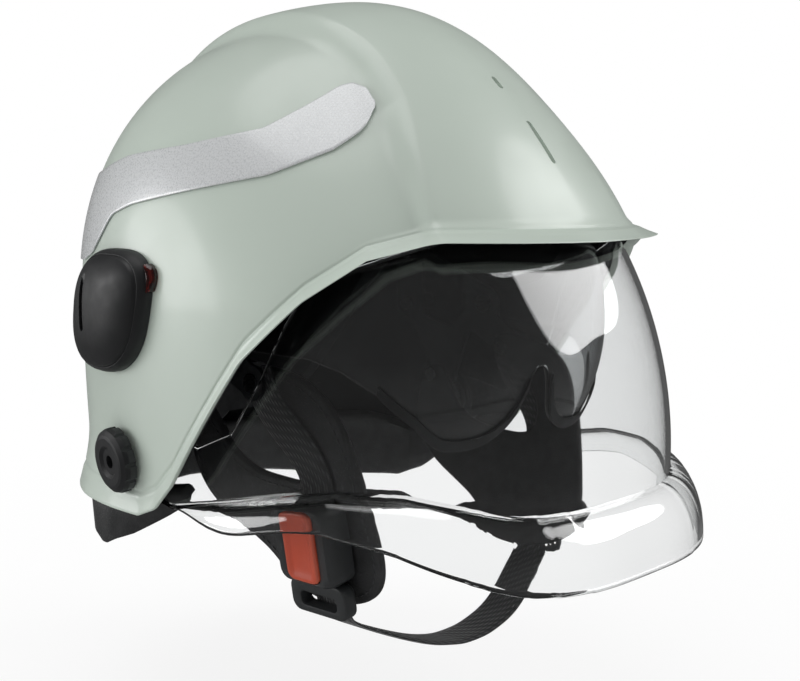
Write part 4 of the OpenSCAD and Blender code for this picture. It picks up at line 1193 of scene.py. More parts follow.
@dataclass
class Shell:
    """Outer shell with its rubber seal and its reflective bands."""

    form: ShellForm = field(default_factory=ShellForm)
    columns: int = 400
    rows: int = 160
    edge_rows: int = 49
    inner_rows: int = 22
    edge_from: float = 0.92
    edge_round: float = 1.2
    bead_w: float = 5.5
    bead_rise: float = 0.5
    groove_w: float = 0.8
    slot_w: float = 3
    slot_depth: float = 2.2
    lining_from: float = 3
    gap: float = 0.3
    seal_t: float = 1.6
    seal_h: float = 9
    seal_end: float = 83.5
    seal_foot: float = 0.6
    seal_form: Sequence[float] = (0.55, 0.8, 0.85, 0.85, 0.9, 1.05, 1.5, 1.7, 1.5)
    band_t: float = 0.8
    band_from: float = 42
    band_steps: Table = ((52, 39), (108, 109), (165, 119))
    band_soft: int = 5
    band_low: Table = ((42, 86), (44, 79), (46, 75), (52, 67.5), (66, 57), (85, 50.5), (102, 44.5), (109, 40),
                       (113, 30), (117, 22), (124, 18), (150, 17), (160, 20), (165, 30))
    band_high: Table = ((42, 88), (44, 94), (48, 96.5), (52, 95), (60, 86.5), (70, 76.5), (90, 70), (110, 66),
                        (124, 60), (150, 55), (160, 52), (165, 42))

    def build(self) -> None:
        """Makes the shell, the seal and both bands."""
        self.outer()
        self.seal()
        for side in Side:
            self.reflector(side)

    def outside(self, phi: np.ndarray, edge: np.ndarray) -> np.ndarray:
        """Rows of the outer face from the crown to the edge, with a raised bead and a groove over it.

        Args:
            phi: angle round from the front, in degrees.
            edge: angle of the shell's edge down from the top.

        Returns:
            The grid of points.
        """
        share = np.concatenate([np.linspace(0, self.edge_from, self.rows),
                                np.linspace(self.edge_from, 1, self.edge_rows + 1)[1:]])
        up = np.radians(edge)[:, None] * (1 - share) * self.form.radius(aim(phi, edge))[:, None]
        bead = self.bead_rise * (1 - smooth_step(self.bead_w - 0.8, self.bead_w + 0.4, up))
        groove = self.bead_rise * np.exp(-((up - self.bead_w - 1.1) / self.groove_w) ** 2)
        return self.form.point(phi[:, None], edge[:, None] * share, bead - groove)

    def outer(self) -> None:
        """The moulded shell as a closed bowl with a rounded edge, and its two crest slots."""
        phi = np.linspace(-180, 180, self.columns, endpoint=False)
        rim = self.form.rim_z(phi)
        outside = self.outside(phi, self.form.polar_at(phi, rim))
        edge = self.form.polar_at(phi, rim, -self.form.wall)
        down = edge[:, None] * np.linspace(0, 1, self.inner_rows)
        inner = self.form.point(phi[:, None], down, -self.form.wall)
        out, low = outside[:, -1], inner[:, -1]
        away = unit(out - outside[:, -2]) * self.edge_round
        turn = [(out + low) / 2 + (out - low) / 2 * math.cos(a) + away * math.sin(a)
                for a in np.linspace(0, math.pi, 7)[1:-1]]
        grid = np.concatenate([outside, np.stack(turn, 1), inner[:, ::-1]], 1)
        faces = grid_faces(*grid.shape[:2], wrap_rows=True)
        shell = make_mesh("outer_shell_lacquered", grid.reshape(-1, 3), faces)
        self.cut_slots(shell)
        dress(shell, SHELL_PAINT, Body.HELMET, "shell_paint", "outer_shell")
        self.line_inside(shell)

    def line_inside(self, shell: bpy.types.Object) -> None:
        """Gives the faces that look inwards a flocked black lining.

        Args:
            shell: the shell.
        """
        shell.data.materials.append(SHELL_LINING.material())
        for face in shell.data.polygons:
            spot = face.center / MM
            above = spot.z - float(self.form.rim_z(math.degrees(math.atan2(spot.x, -spot.y))))
            if face.normal.dot(spot.normalized()) < -0.4 and above > self.lining_from:
                face.material_index = 1

    def cut_slots(self, shell: bpy.types.Object) -> None:
        """Sinks the accessory slots into the crest.

        Args:
            shell: the shell.
        """
        lay = np.array([[0, 1, 0], [0, 0, 1], [1, 0, 0]])
        for angle, length in self.form.slots:
            reach = float(np.linalg.norm(self.form.point(0, 90 - angle)))
            rings = [rounded_ring(self.slot_w, length, self.slot_w / 2, d, 8)
                     for d in (reach - self.slot_depth, reach + 9)]
            cutter = loft("slot_cutter", rings)
            turn = np.array(Matrix.Rotation(math.radians(90 - angle), 3, "X"))
            move(cutter, lambda p: p @ lay.T @ turn.T)
            cut_out(shell, tidy(cutter))

    def seal(self) -> None:
        """Rubber seal under the edge, from ear to ear over the brow, with a round bead at its foot."""
        phi = np.linspace(-self.seal_end, self.seal_end, 260)
        off = -self.form.wall - self.gap - 0.15
        rim = self.form.rim_z(phi)
        low = self.form.polar_at(phi, rim + self.seal_foot, off)
        high = self.form.polar_at(phi, rim + self.seal_h, off)
        steps = np.linspace(0, 1, len(self.seal_form))
        front = [self.form.point(phi, low + (high - low) * t, off) for t in steps]
        back = [self.form.point(phi, low + (high - low) * t, off - self.seal_t * thick)
                for t, thick in zip(steps[::-1], self.seal_form)]
        seal = loft("rim_seal_rubber", list(np.stack(front + back, 1)), sharp=60)
        dress(seal, SEAL_RUBBER, Body.HELMET, "seal_rubber", "rim_seal")

    def reflector(self, side: Side) -> None:
        """One reflective band, laid on the shell's side.

        Args:
            side: the side of the helmet.
        """
        phi = np.array([self.band_from])
        for end, steps in self.band_steps:
            phi = np.concatenate([phi, np.linspace(phi[-1], end, steps + 1)[1:]])
        edges = []
        for table in (self.band_low, self.band_high):
            padded = np.pad(look_up(table, phi), self.band_soft // 2, mode="edge")
            edges.append(np.convolve(padded, np.ones(self.band_soft) / self.band_soft, "valid")[:, None])
        off = self.gap + 0.5 * (1 - smooth_step(46, 56, phi)) + self.band_t
        z = edges[0] + (edges[1] - edges[0]) * np.linspace(0, 1, 26)
        grid = self.form.at_height(-phi[:, None], z, off[:, None])
        piece = sheet_solid("reflector_film_" + side.word, grid, self.band_t, 0.25, flip=True)
        dress(mirrored(piece, side), FILM, Body.HELMET, "reflective_film", "reflector_" + side.word)


@dataclass
class SideCover:
    """Domed side cover with its rail slot and its red signal lens."""

    form: ShellForm = field(default_factory=ShellForm)
    y: float = 36
    z: float = -3
    length: float = 64
    height: float = 56
    rise: float = 14
    slant: float = 0.28
    power: float = 2.7
    gap: float = 0.3
    rail_h: float = 26
    rail_w: float = 4
    rail_d: float = 4
    rail_y: float = 6
    rail_up: float = 4
    foot_h: float = 2
    groove_at: float = 0.9
    groove_d: float = 0.8
    lens_from: float = 136
    lens_to: float = 160

    def spot(self, rho: np.ndarray, turn: np.ndarray, off: np.ndarray | float) -> np.ndarray:
        """Point over the cover's outline: rho from its middle, turn round it, off from the shell.

        Args:
            rho: share of the way to the outline.
            turn: angle round the middle.
            off: distance moved out, in millimetres.

        Returns:
            The points in millimetres.
        """
        c, s = np.cos(np.radians(turn)), np.sin(np.radians(turn))
        q = (np.abs(c) ** self.power + np.abs(s) ** self.power) ** (-1 / self.power)
        up = rho * q * s * self.height / 2
        y = self.y + rho * q * c * self.length / 2 - self.slant * up
        z = self.z + up
        return np.stack([-self.form.side_x(y, z) - off, y, z], -1)

    def build(self) -> None:
        """Makes both covers and both lenses."""
        for side in Side:
            self.cover(side)
            self.lens(side)

    def cover(self, side: Side) -> None:
        """The cover as a closed dome with a fine parting groove round its foot.

        Args:
            side: the side of the helmet.
        """
        rho = np.concatenate([np.linspace(0, 0.8, 30), np.linspace(0.8, 1, 26)[1:]])
        turn = np.linspace(0, 360, 140, endpoint=False)
        high = self.foot_h + (self.rise - self.foot_h) * np.maximum(0, 1 - rho ** 2.6) ** 0.55
        groove = self.groove_d * np.exp(-((rho - self.groove_at) / 0.012) ** 2)
        top = self.spot(rho[None, :], turn[:, None], (high - groove)[None, :])
        foot = self.spot(np.array([[1.0, 0.6, 0.0]]), turn[:, None], self.gap)
        grid = np.concatenate([top, foot], 1)
        name = "side_cover_" + side.word + "_moulded"
        piece = make_mesh(name, grid.reshape(-1, 3), grid_faces(*grid.shape[:2], wrap_rows=True))
        self.cut_rail(piece)
        dress(mirrored(piece, side), COVER_NYLON, Body.HELMET, "black_plastic", "side_cover_" + side.word)

    def cut_rail(self, piece: bpy.types.Object) -> None:
        """Cuts the accessory rail slot.

        Args:
            piece: the cover.
        """
        x = -float(self.form.side_x(self.y, self.z)) - self.rise + self.rail_d
        rings = [rounded_ring(self.rail_w, self.rail_h, self.rail_w / 2, d, 8) for d in (x, x - 12)]
        cutter = loft("rail_cutter", rings)
        cut_out(piece, move(cutter, lambda p: p + [0, self.y + self.rail_y, self.z + self.rail_up]))

    def lens(self, side: Side) -> None:
        """Red lens along the upper front edge of the cover.

        Args:
            side: the side of the helmet.
        """
        turn = np.linspace(self.lens_from, self.lens_to, 40)
        bulge = 0.06 * np.sin(np.pi * (turn - self.lens_from) / (self.lens_to - self.lens_from)) + 0.03
        rings = []
        for t, e in zip(turn, bulge):
            outer = 1.015 + e
            outline = [(1.012, self.gap), (1.012, 3.6), (1.02, 4.3), (outer - e * 0.5, 4.0),
                       (outer - e * 0.1, 2.9), (outer, 1.8), (outer, self.gap)]
            rings.append(np.array([self.spot(r, t, o) for r, o in outline]))
        piece = loft("signal_lens_" + side.word + "_red", rings, sharp=60)
        dress(mirrored(piece, side), RED_LENS, Body.HELMET, "red_lens", "signal_lens_" + side.word)


@dataclass
class TurnedSheet:
    """A moulded sheet: its section across the face is turned about its hinge line."""

    half_w: float = 100
    reach: float = 100
    hinge_y: float = 0
    hinge_z: float = 0
    power: float = 3.5
    axle: float = 10
    columns: int = 200
    scan: tuple[float, float, int] = (60, -60, 1201)

    def depth(self, share: np.ndarray) -> np.ndarray:
        """Distance of the section from the hinge line, at a share of its half width."""
        return self.reach * np.sqrt(np.maximum(0, 1 - share ** self.power))

    def spot(self, x: np.ndarray, turn: np.ndarray, off: float = 0) -> np.ndarray:
        """Point of the sheet at width x, turned up from the forward direction, moved out by off.

        Args:
            x: width in millimetres.
            turn: angle up from the forward direction.
            off: distance moved out, in millimetres.

        Returns:
            The points in millimetres.
        """
        r = self.depth(np.abs(x) / self.half_w) + off
        a = np.radians(turn)
        return np.stack([x * (1 + off / self.half_w) + 0 * a, self.hinge_y - r * np.cos(a),
                         self.hinge_z + r * np.sin(a)], -1)

    def widths(self) -> np.ndarray:
        """Widths of the columns, evenly spaced along the sheet's section as far as its axle.

        Returns:
            The widths in millimetres.
        """
        share = np.sin(np.linspace(0, math.pi / 2, 4000))
        half = np.stack([share * self.half_w, self.depth(share)], 1)
        half = half[half[:, 1] > self.axle]
        return even_path(np.concatenate([half[:0:-1] * [-1, 1], half]), self.columns)[:, 0]

    def kept(self, p: np.ndarray) -> np.ndarray:
        """Tells which points of the full sheet lie inside the piece's outline."""
        raise NotImplementedError

    def spans(self) -> tuple[np.ndarray, np.ndarray, np.ndarray]:
        """Width of each column with the angles of its upper and lower end.

        Returns:
            The widths, the upper angles and the lower angles.
        """
        x, scan = self.widths(), np.linspace(*self.scan)
        hit = self.kept(self.spot(x[:, None], scan[None, :]))
        first = scan[np.argmax(hit, 1)]
        last = scan[len(scan) - 1 - np.argmax(hit[:, ::-1], 1)]
        keep = hit.any(1)
        return x[keep], first[keep], last[keep]

    def hub(self, side: Side, rims: Table, count: int) -> bpy.types.Object:
        """A round boss with its bore, on the sheet's inner side.

        Args:
            side: the side of the helmet.
            rims: radius of each rim and its distance from the middle, in order round the section.
            count: number of points in a rim.

        Returns:
            The new piece.
        """
        a = np.linspace(0, 2 * math.pi, count, endpoint=False)
        rings = []
        for r, at in rims:
            y, z = self.hinge_y + r * np.cos(a), self.hinge_z + r * np.sin(a)
            rings.append(np.stack([np.full(count, -at), y, z], 1))
        return mirrored(loft("hub", rings, closed=True), side)


@dataclass
class FaceShield(TurnedSheet):
    """Clear face shield: a wide sheet with a turned-out lip at its foot."""

    half_w: float = 112.5
    reach: float = 185
    hinge_y: float = 31
    hinge_z: float = -70
    power: float = 3.4
    axle: float = 12
    columns: int = 260
    rows: int = 70
    scan: tuple[float, float, int] = (80, -60, 1401)
    thickness: float = 2.5
    hub_r: float = 16
    hub_out: float = 112.8
    hub_in: float = 109.3
    spigot_r: float = 4.05
    lip_out: float = 16
    lip_drop: float = 30
    lip_side_drop: float = 13
    lip_rows: int = 24
    crease: Table = ((-170, -80.5), (-154, -80.5), (-142, -79), (-128, -74.5), (-110, -71), (-80, -72),
                     (-50, -78), (-20, -84), (10, -89.5))
    side: Table = ((-1.09, 0.62), (-0.86, 0.584), (-0.75, 0.54), (-0.503, 0.443), (-0.454, 0.351),
                   (-0.395, 0.216), (-0.314, 0.0865), (-0.211, 0.043), (-0.1135, 0.065))

    def kept(self, p: np.ndarray) -> np.ndarray:
        """Tells which points lie above the crease and below the sheet's upper edge.

        Args:
            p: points in millimetres.

        Returns:
            True for each point that is kept.
        """
        upper = [(self.hinge_y + a * self.reach, self.hinge_z + b * self.reach) for a, b in self.side]
        hub = [(self.hinge_y - 6, self.hinge_z + self.hub_r - 2.5), (self.hinge_y, self.hinge_z),
               (self.hinge_y - 2, self.hinge_z - self.hub_r + 1)]
        outline = upper + hub + [tuple(q) for q in self.crease[:0:-1]] + [(upper[0][0], self.crease[0][1])]
        return inside(outline, p[..., 1], p[..., 2])

    def build(self) -> None:
        """Makes the sheet with its lip and both hubs as one piece."""
        x, first, last = self.spans()
        turn = first[:, None] + (last - first)[:, None] * np.linspace(0, 1, self.rows)
        grid = self.spot(x[:, None], turn)
        grid = np.concatenate([grid, self.lip(grid[:, -1])], 1)
        sheet = sheet_solid("sheet", grid, self.thickness, 0.5, flip=True)
        rims = ((self.hub_r, self.hub_out), (self.hub_r, self.hub_in), (self.spigot_r, self.hub_in),
                (self.spigot_r, self.hub_out))
        shield = join("face_shield_clear", sheet, *[self.hub(side, rims, 64) for side in Side])
        dress(shield, SHIELD_CLEAR, Body.SHIELD, "clear_shield", "face_shield")

    def lip(self, crease: np.ndarray) -> np.ndarray:
        """Rows of points that flare out from the crease and turn down.

        Args:
            crease: points of the sheet's lower edge.

        Returns:
            The rows below the crease.
        """
        along = unit(np.gradient(crease, axis=0) * [1, 1, 0])
        out = np.stack([along[:, 1], -along[:, 0], 0 * along[:, 0]], 1)
        fade = 0.02 + 0.98 * smooth_step(-20, 44, -crease[:, 1])
        front = smooth_step(60, 160, -crease[:, 1])
        wide = self.lip_out * fade * (0.85 + 0.15 * front)
        drop = fade * (self.lip_side_drop + (self.lip_drop - self.lip_side_drop) * front)
        bend = drop * (0.25 + 0.25 * front)
        t = np.linspace(0, 1, self.lip_rows + 1)[1:, None]
        # Fillet, shoulder and hanging edge, as one smooth curve for each column
        flare = curve_at([0 * wide, 0.5 * wide, wide, wide], t)
        fall = curve_at([0 * drop, 0.06 * bend, 0.7 * bend, drop], t)
        rows = crease[:, None] + out[:, None] * flare.T[..., None]
        rows[..., 2] -= fall.T
        return rows


@dataclass
class InnerVisor(TurnedSheet):
    """Smoked inner visor with a nose notch, two round cheeks and a soft edging."""

    half_w: float = 98.2
    reach: float = 106.4
    hinge_y: float = -7
    hinge_z: float = -10.5
    power: float = 3.6
    axle: float = 7
    columns: int = 220
    rows: int = 60
    scan: tuple[float, float, int] = (60, -60, 2401)
    thickness: float = 2.2
    hub_r: float = 9
    hub_in: float = 95.8
    hub_proud: float = 0.3
    pin_r: float = 3.05
    edging_h: float = 5
    edging_t: float = 0.9
    edging_gap: float = 0.3
    edging_from: float = 8
    edging_to: float = 78
    side_outline: Table = ((-125, 36), (-98, 36), (-62, 22), (-44, 4), (-24, -2), (-7, -2), (-7, -19),
                           (-24, -18), (-58, -20), (-72, -25), (-84, -34), (-93, -48), (-98, -70),
                           (-125, -70))
    foot: Table = ((0, -27), (3.5, -28), (6.5, -32), (10, -41), (14, -50), (20, -55.5), (28, -59.5),
                   (38, -61), (50, -60), (61, -56), (70, -49), (78, -40), (90, -31), (110, -27))

    def kept(self, p: np.ndarray) -> np.ndarray:
        """Tells which points lie inside the side outline and above the nose notch and cheeks."""
        foot = look_up(rounded_path(self.foot, 2, closed=False), np.abs(p[..., 0]))
        return inside(self.side_outline, p[..., 1], p[..., 2]) & (p[..., 2] > foot)

    def build(self) -> None:
        """Makes the lens with its two hubs, and the edging round its cheeks."""
        x, first, last = self.spans()
        turn = first[:, None] + (last - first)[:, None] * np.linspace(0, 1, self.rows)
        lens = sheet_solid("lens", self.spot(x[:, None], turn), self.thickness, 0.5, flip=True)
        out = self.half_w + self.hub_proud
        rims = ((self.hub_r, out), (self.hub_r, self.hub_in), (self.pin_r, self.hub_in), (self.pin_r, out))
        visor = join("inner_visor_smoked", lens, *[self.hub(side, rims, 48) for side in Side])
        dress(visor, VISOR_SMOKE, Body.VISOR, "smoke_visor", "inner_visor")
        rise = np.degrees(self.edging_h / self.reach) * np.linspace(1, 0, 8)
        strips = []
        for sign in (-1, 1):
            pick = (sign * x > self.edging_from) & (sign * x < self.edging_to)
            strip = self.spot(x[pick][:, None], last[pick][:, None] + rise, self.edging_gap + self.edging_t)
            strips.append(sheet_solid("strip", strip, self.edging_t, 0.3, flip=True))
        dress(join("visor_edging_soft", *strips), SEAL_RUBBER, Body.VISOR, "seal_rubber", "visor_edging")


@dataclass
class Lining:
    """Padded liner, crown net, headband, brow pad and the two adjusting arms."""

    shell: ShellForm = field(default_factory=ShellForm)
    cavity: CavityForm = field(default_factory=CavityForm)
    liner_half_w: float = 95
    liner_front: float = 104
    liner_top: float = 93
    gap: float = 1.6
    rim: Table = ((0, 36), (60, 36), (95, 34), (122, 31), (140, 16), (155, -12), (170, -32), (180, -34))
    straps: int = 6
    net_w: float = 16
    net_t: float = 1.2
    net_off: float = 2.7
    patch_drop: float = 3.6
    patch: Table = ((0.01, 0), (18.5, 0), (19.6, 0.5), (20, 1.1), (19.6, 1.8), (18.5, 2.2), (0.01, 2.2))
    band_low: float = 38
    band_high: float = 60
    band_off: float = 0.8
    band_t: float = 1.5
    pad_t: float = 6
    pad_end: float = 58
    pad_gap: float = 0.3
    pad_cell: float = 29
    arm_w: float = 14
    arm_t: float = 1.6
    arm_from: float = 66
    arm_to: float = 114
    arm_high: float = 48
    arm_low: float = 24
    rack_y: float = 111.5
    rack_z: float = 7.4
    gear_z: float = -60
    arm_x: float = 52.4

    def liner_radius(self, u: np.ndarray) -> np.ndarray:
        """Distance of the liner's outer wall along the directions u.

        Args:
            u: unit directions.

        Returns:
            The distances.
        """
        ball = CavityForm(self.liner_half_w, self.liner_front, self.liner_front + 8, self.liner_top)
        share = smooth_step(0.24, 0.42, u[..., 1] + 0.42 * u[..., 2])
        plain = self.shell.radius(u) - self.shell.wall - self.gap
        return ball.radius(u) * (1 - share) + plain * share

    def build(self) -> None:
        """Makes the soft inside of the helmet."""
        self.liner()
        self.net()
        self.headband()
        self.brow_pad()
        for side in Side:
            self.arm(side)

    def liner(self) -> None:
        """Cloth-covered liner."""
        phi = np.linspace(-180, 180, 180, endpoint=False)
        rim = look_up(self.rim, fold(phi))
        profiles = []
        for wall in (self.liner_radius, self.cavity.radius):
            u = aim(phi[:, None], psi_of(wall, phi, rim)[:, None] * np.linspace(0, 1, 50))
            profiles.append(u * wall(u)[..., None])
        grid = np.concatenate([profiles[0], profiles[1][:, ::-1]], 1)
        faces = grid_faces(*grid.shape[:2], wrap_rows=True)
        piece = make_mesh("liner_cloth_covered", grid.reshape(-1, 3), faces)
        dress(piece, LINER_CLOTH, Body.HELMET, "liner_foam", "impact_liner")

    def net(self) -> None:
        """Straps of webbing that meet under a round patch."""
        parts = []
        for phi in 30 + 360 / self.straps * np.arange(self.straps):
            foot = self.cavity.at_height(phi, self.band_high + 1)
            last = math.degrees(math.acos(foot[2] / np.linalg.norm(foot)))
            u = aim(phi, np.linspace(11, last, 26))
            across = np.array([math.cos(math.radians(phi)), math.sin(math.radians(phi)), 0])
            line = u * (self.cavity.radius(u) - self.net_off - self.net_t / 2)[:, None]
            parts.append(band("strap", line, across, self.net_w, self.net_t))
        foot = self.cavity.top - self.net_off - self.patch_drop
        a = np.linspace(0, 2 * math.pi, 64, endpoint=False)
        rings = [np.stack([r * np.cos(a), r * np.sin(a), np.full(64, foot + up)], 1) for r, up in self.patch]
        net = join_with_map("crown_net_webbing", [*parts, loft("patch", rings)])
        dress(net, WEB_POLYESTER, Body.HELMET, "webbing", "crown_net")

    def headband(self) -> None:
        """Plastic headband over the brow."""
        phi = np.linspace(-82, 82, 150)
        z = np.linspace(self.band_low, self.band_high, 12)
        grid = self.cavity.at_height(phi[:, None], z[None, :], -self.band_off)
        piece = sheet_solid("headband_moulded", grid, self.band_t, 0.4)
        dress(piece, BAND_NYLON, Body.HELMET, "black_plastic", "headband")

    def brow_pad(self) -> None:
        """Brow cushion inside the headband, crowned between its seams."""
        phi = np.linspace(-self.pad_end, self.pad_end, 150)
        back = -self.band_off - self.band_t - self.pad_gap
        low, high = self.band_low - 2, self.band_high - 3
        full = self.pad_t * np.sqrt(np.maximum(0, 1 - (phi / (self.pad_end + 0.5)) ** 8))
        past_seam = np.mod(phi + self.pad_cell / 2, self.pad_cell) - self.pad_cell / 2
        channel = 1 - 0.35 * np.exp(-(past_seam / 1.3) ** 2)
        rings = []
        for turn in np.linspace(0, 2 * math.pi, 24, endpoint=False):
            level = (low + high) / 2 + (high - low) / 2 * np.sign(math.cos(turn)) * abs(math.cos(turn)) ** 0.6
            deep = np.maximum(0, math.sin(turn)) ** 0.7 * full * channel
            rings.append(self.cavity.at_height(phi, np.full(phi.shape, level), back - deep))
        piece = loft("brow_pad_cushion", list(np.stack(rings, 1)), sharp=70)
        dress(piece, PAD_KNIT, Body.HELMET, "pad_fabric", "brow_pad")

    def arm_edge(self, phi: np.ndarray, side: int) -> np.ndarray:
        """Upper or lower edge of an arm where it follows the cavity.

        Args:
            phi: angle round from the front, in degrees.
            side: 1 for the upper edge, -1 for the lower one.

        Returns:
            The points in millimetres.
        """
        down = 0.5 * smooth_step(70, 122, phi) + 0.5 * np.maximum(0, (phi - 70) / 52)
        height = self.arm_high + (self.arm_low - self.arm_high) * down
        off = self.band_off + self.band_t + self.pad_gap + self.arm_t / 2
        return self.cavity.at_height(-phi, height + side * self.arm_w / 2, -off)

    def arm(self, side: Side) -> None:
        """One springy arm from the temple round to its rack.

        Args:
            side: the side of the helmet.
        """
        end_z = self.gear_z + side.value * self.rack_z
        edges = []
        for way in (-1, 1):
            body = self.arm_edge(np.linspace(self.arm_from, self.arm_to, 40), way)
            a, b = self.arm_edge(np.array([self.arm_to, self.arm_to - 8]), way)
            last = np.array([-self.arm_x, self.rack_y, end_z + way * 3])
            knots = [a, a + (a - b) * 3, last + [-26, -4, 4], last]
            edges.append(np.concatenate([body, curve_at(knots, np.linspace(0, 1, 40)[1:, None])]))
        share = np.linspace(0, 1, 8)[None, :, None]
        grid = edges[0][:, None] * (1 - share) + edges[1][:, None] * share
        grid = grid + grid_normals(grid) * self.arm_t / 2
        piece = mirrored(sheet_solid("band_arm_" + side.word + "_moulded", grid, self.arm_t, 0.4), side)
        dress(piece, BAND_NYLON, None, "black_plastic", "band_arm_" + side.word)
        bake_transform(piece)


def join_with_map(name: str, parts: Sequence[bpy.types.Object]) -> bpy.types.Object:
    """Joins pieces of cloth and keeps their maps; a piece without a map gets a flat one.

    Args:
        name: the piece's name.
        parts: the pieces, which are removed.

    Returns:
        The new piece.
    """
    for part in parts:
        if "cloth" not in part.data.uv_layers:
            layer = part.data.uv_layers.new(name="cloth")
            for loop in part.data.loops:
                spot = part.data.vertices[loop.vertex_index].co
                layer.data[loop.index].uv = (spot.x / MM * UV_UNIT, spot.y / MM * UV_UNIT)
    return join(name, *parts)


@dataclass
class NapePad:
    """Soft cushion inside the shell's rear edge."""

    form: ShellForm = field(default_factory=ShellForm)
    low: Table = ((102, -93), (108, -101), (116, -112), (124, -120), (140, -121), (160, -116), (180, -113))
    top: Table = ((102, -85), (110, -87), (120, -88), (132, -82), (180, -84))
    step_in: Table = ((102, 24), (108, 20), (114, 12), (120, 4), (126, 0), (180, 0))
    thickness: float = 9
    edge: float = 90
    half: float = 77.5
    clear: float = 2

    def build(self) -> None:
        """Makes the cushion as a closed form round its edge."""
        phi = np.linspace(180 + self.half, 180 - self.half, 220)
        top, low = look_up(self.top, fold(phi)), look_up(self.low, fold(phi))
        share = 0.35 + 0.65 * np.sqrt(np.maximum(0, 1 - ((phi - 180) / (self.half + 1)) ** 6))
        mid = np.minimum(-self.edge, top - 3)
        off = -self.form.wall - self.clear
        f = np.radians(phi)
        inward = np.stack([-np.sin(f), np.cos(f), 0 * f], 1)
        step = inward * look_up(self.step_in, fold(phi))[:, None]
        a = self.form.at_height(phi, top, off) + step
        b = self.form.at_height(phi, mid, off) + step
        down = np.stack([0 * f, 0 * f, low - mid], 1)
        lift = np.array([0, 0, 1.0])
        t = self.thickness * share[:, None]
        rings = [a + inward * 2, b, b + inward + down * 0.5, b + inward * (t * 0.2) + down * 0.85,
                 b + inward * (t * 0.5) + down, b + inward * (t * 0.85) + down * 0.9,
                 b + inward * (t * 1.02) + down * 0.6, b + inward * (t * 1.06) + down * 0.2,
                 b + inward * (t + 0.6), a + inward * (t + 1) - lift * 3,
                 a + inward * t * 0.9 - lift * 0.6, a + inward * t * 0.55 + lift * 0.4]
        piece = loft("nape_pad_cushion", list(np.stack(rings, 1)), sharp=80)
        dress(piece, YOKE_LEATHER, Body.HELMET, "pad_fabric", "nape_pad")


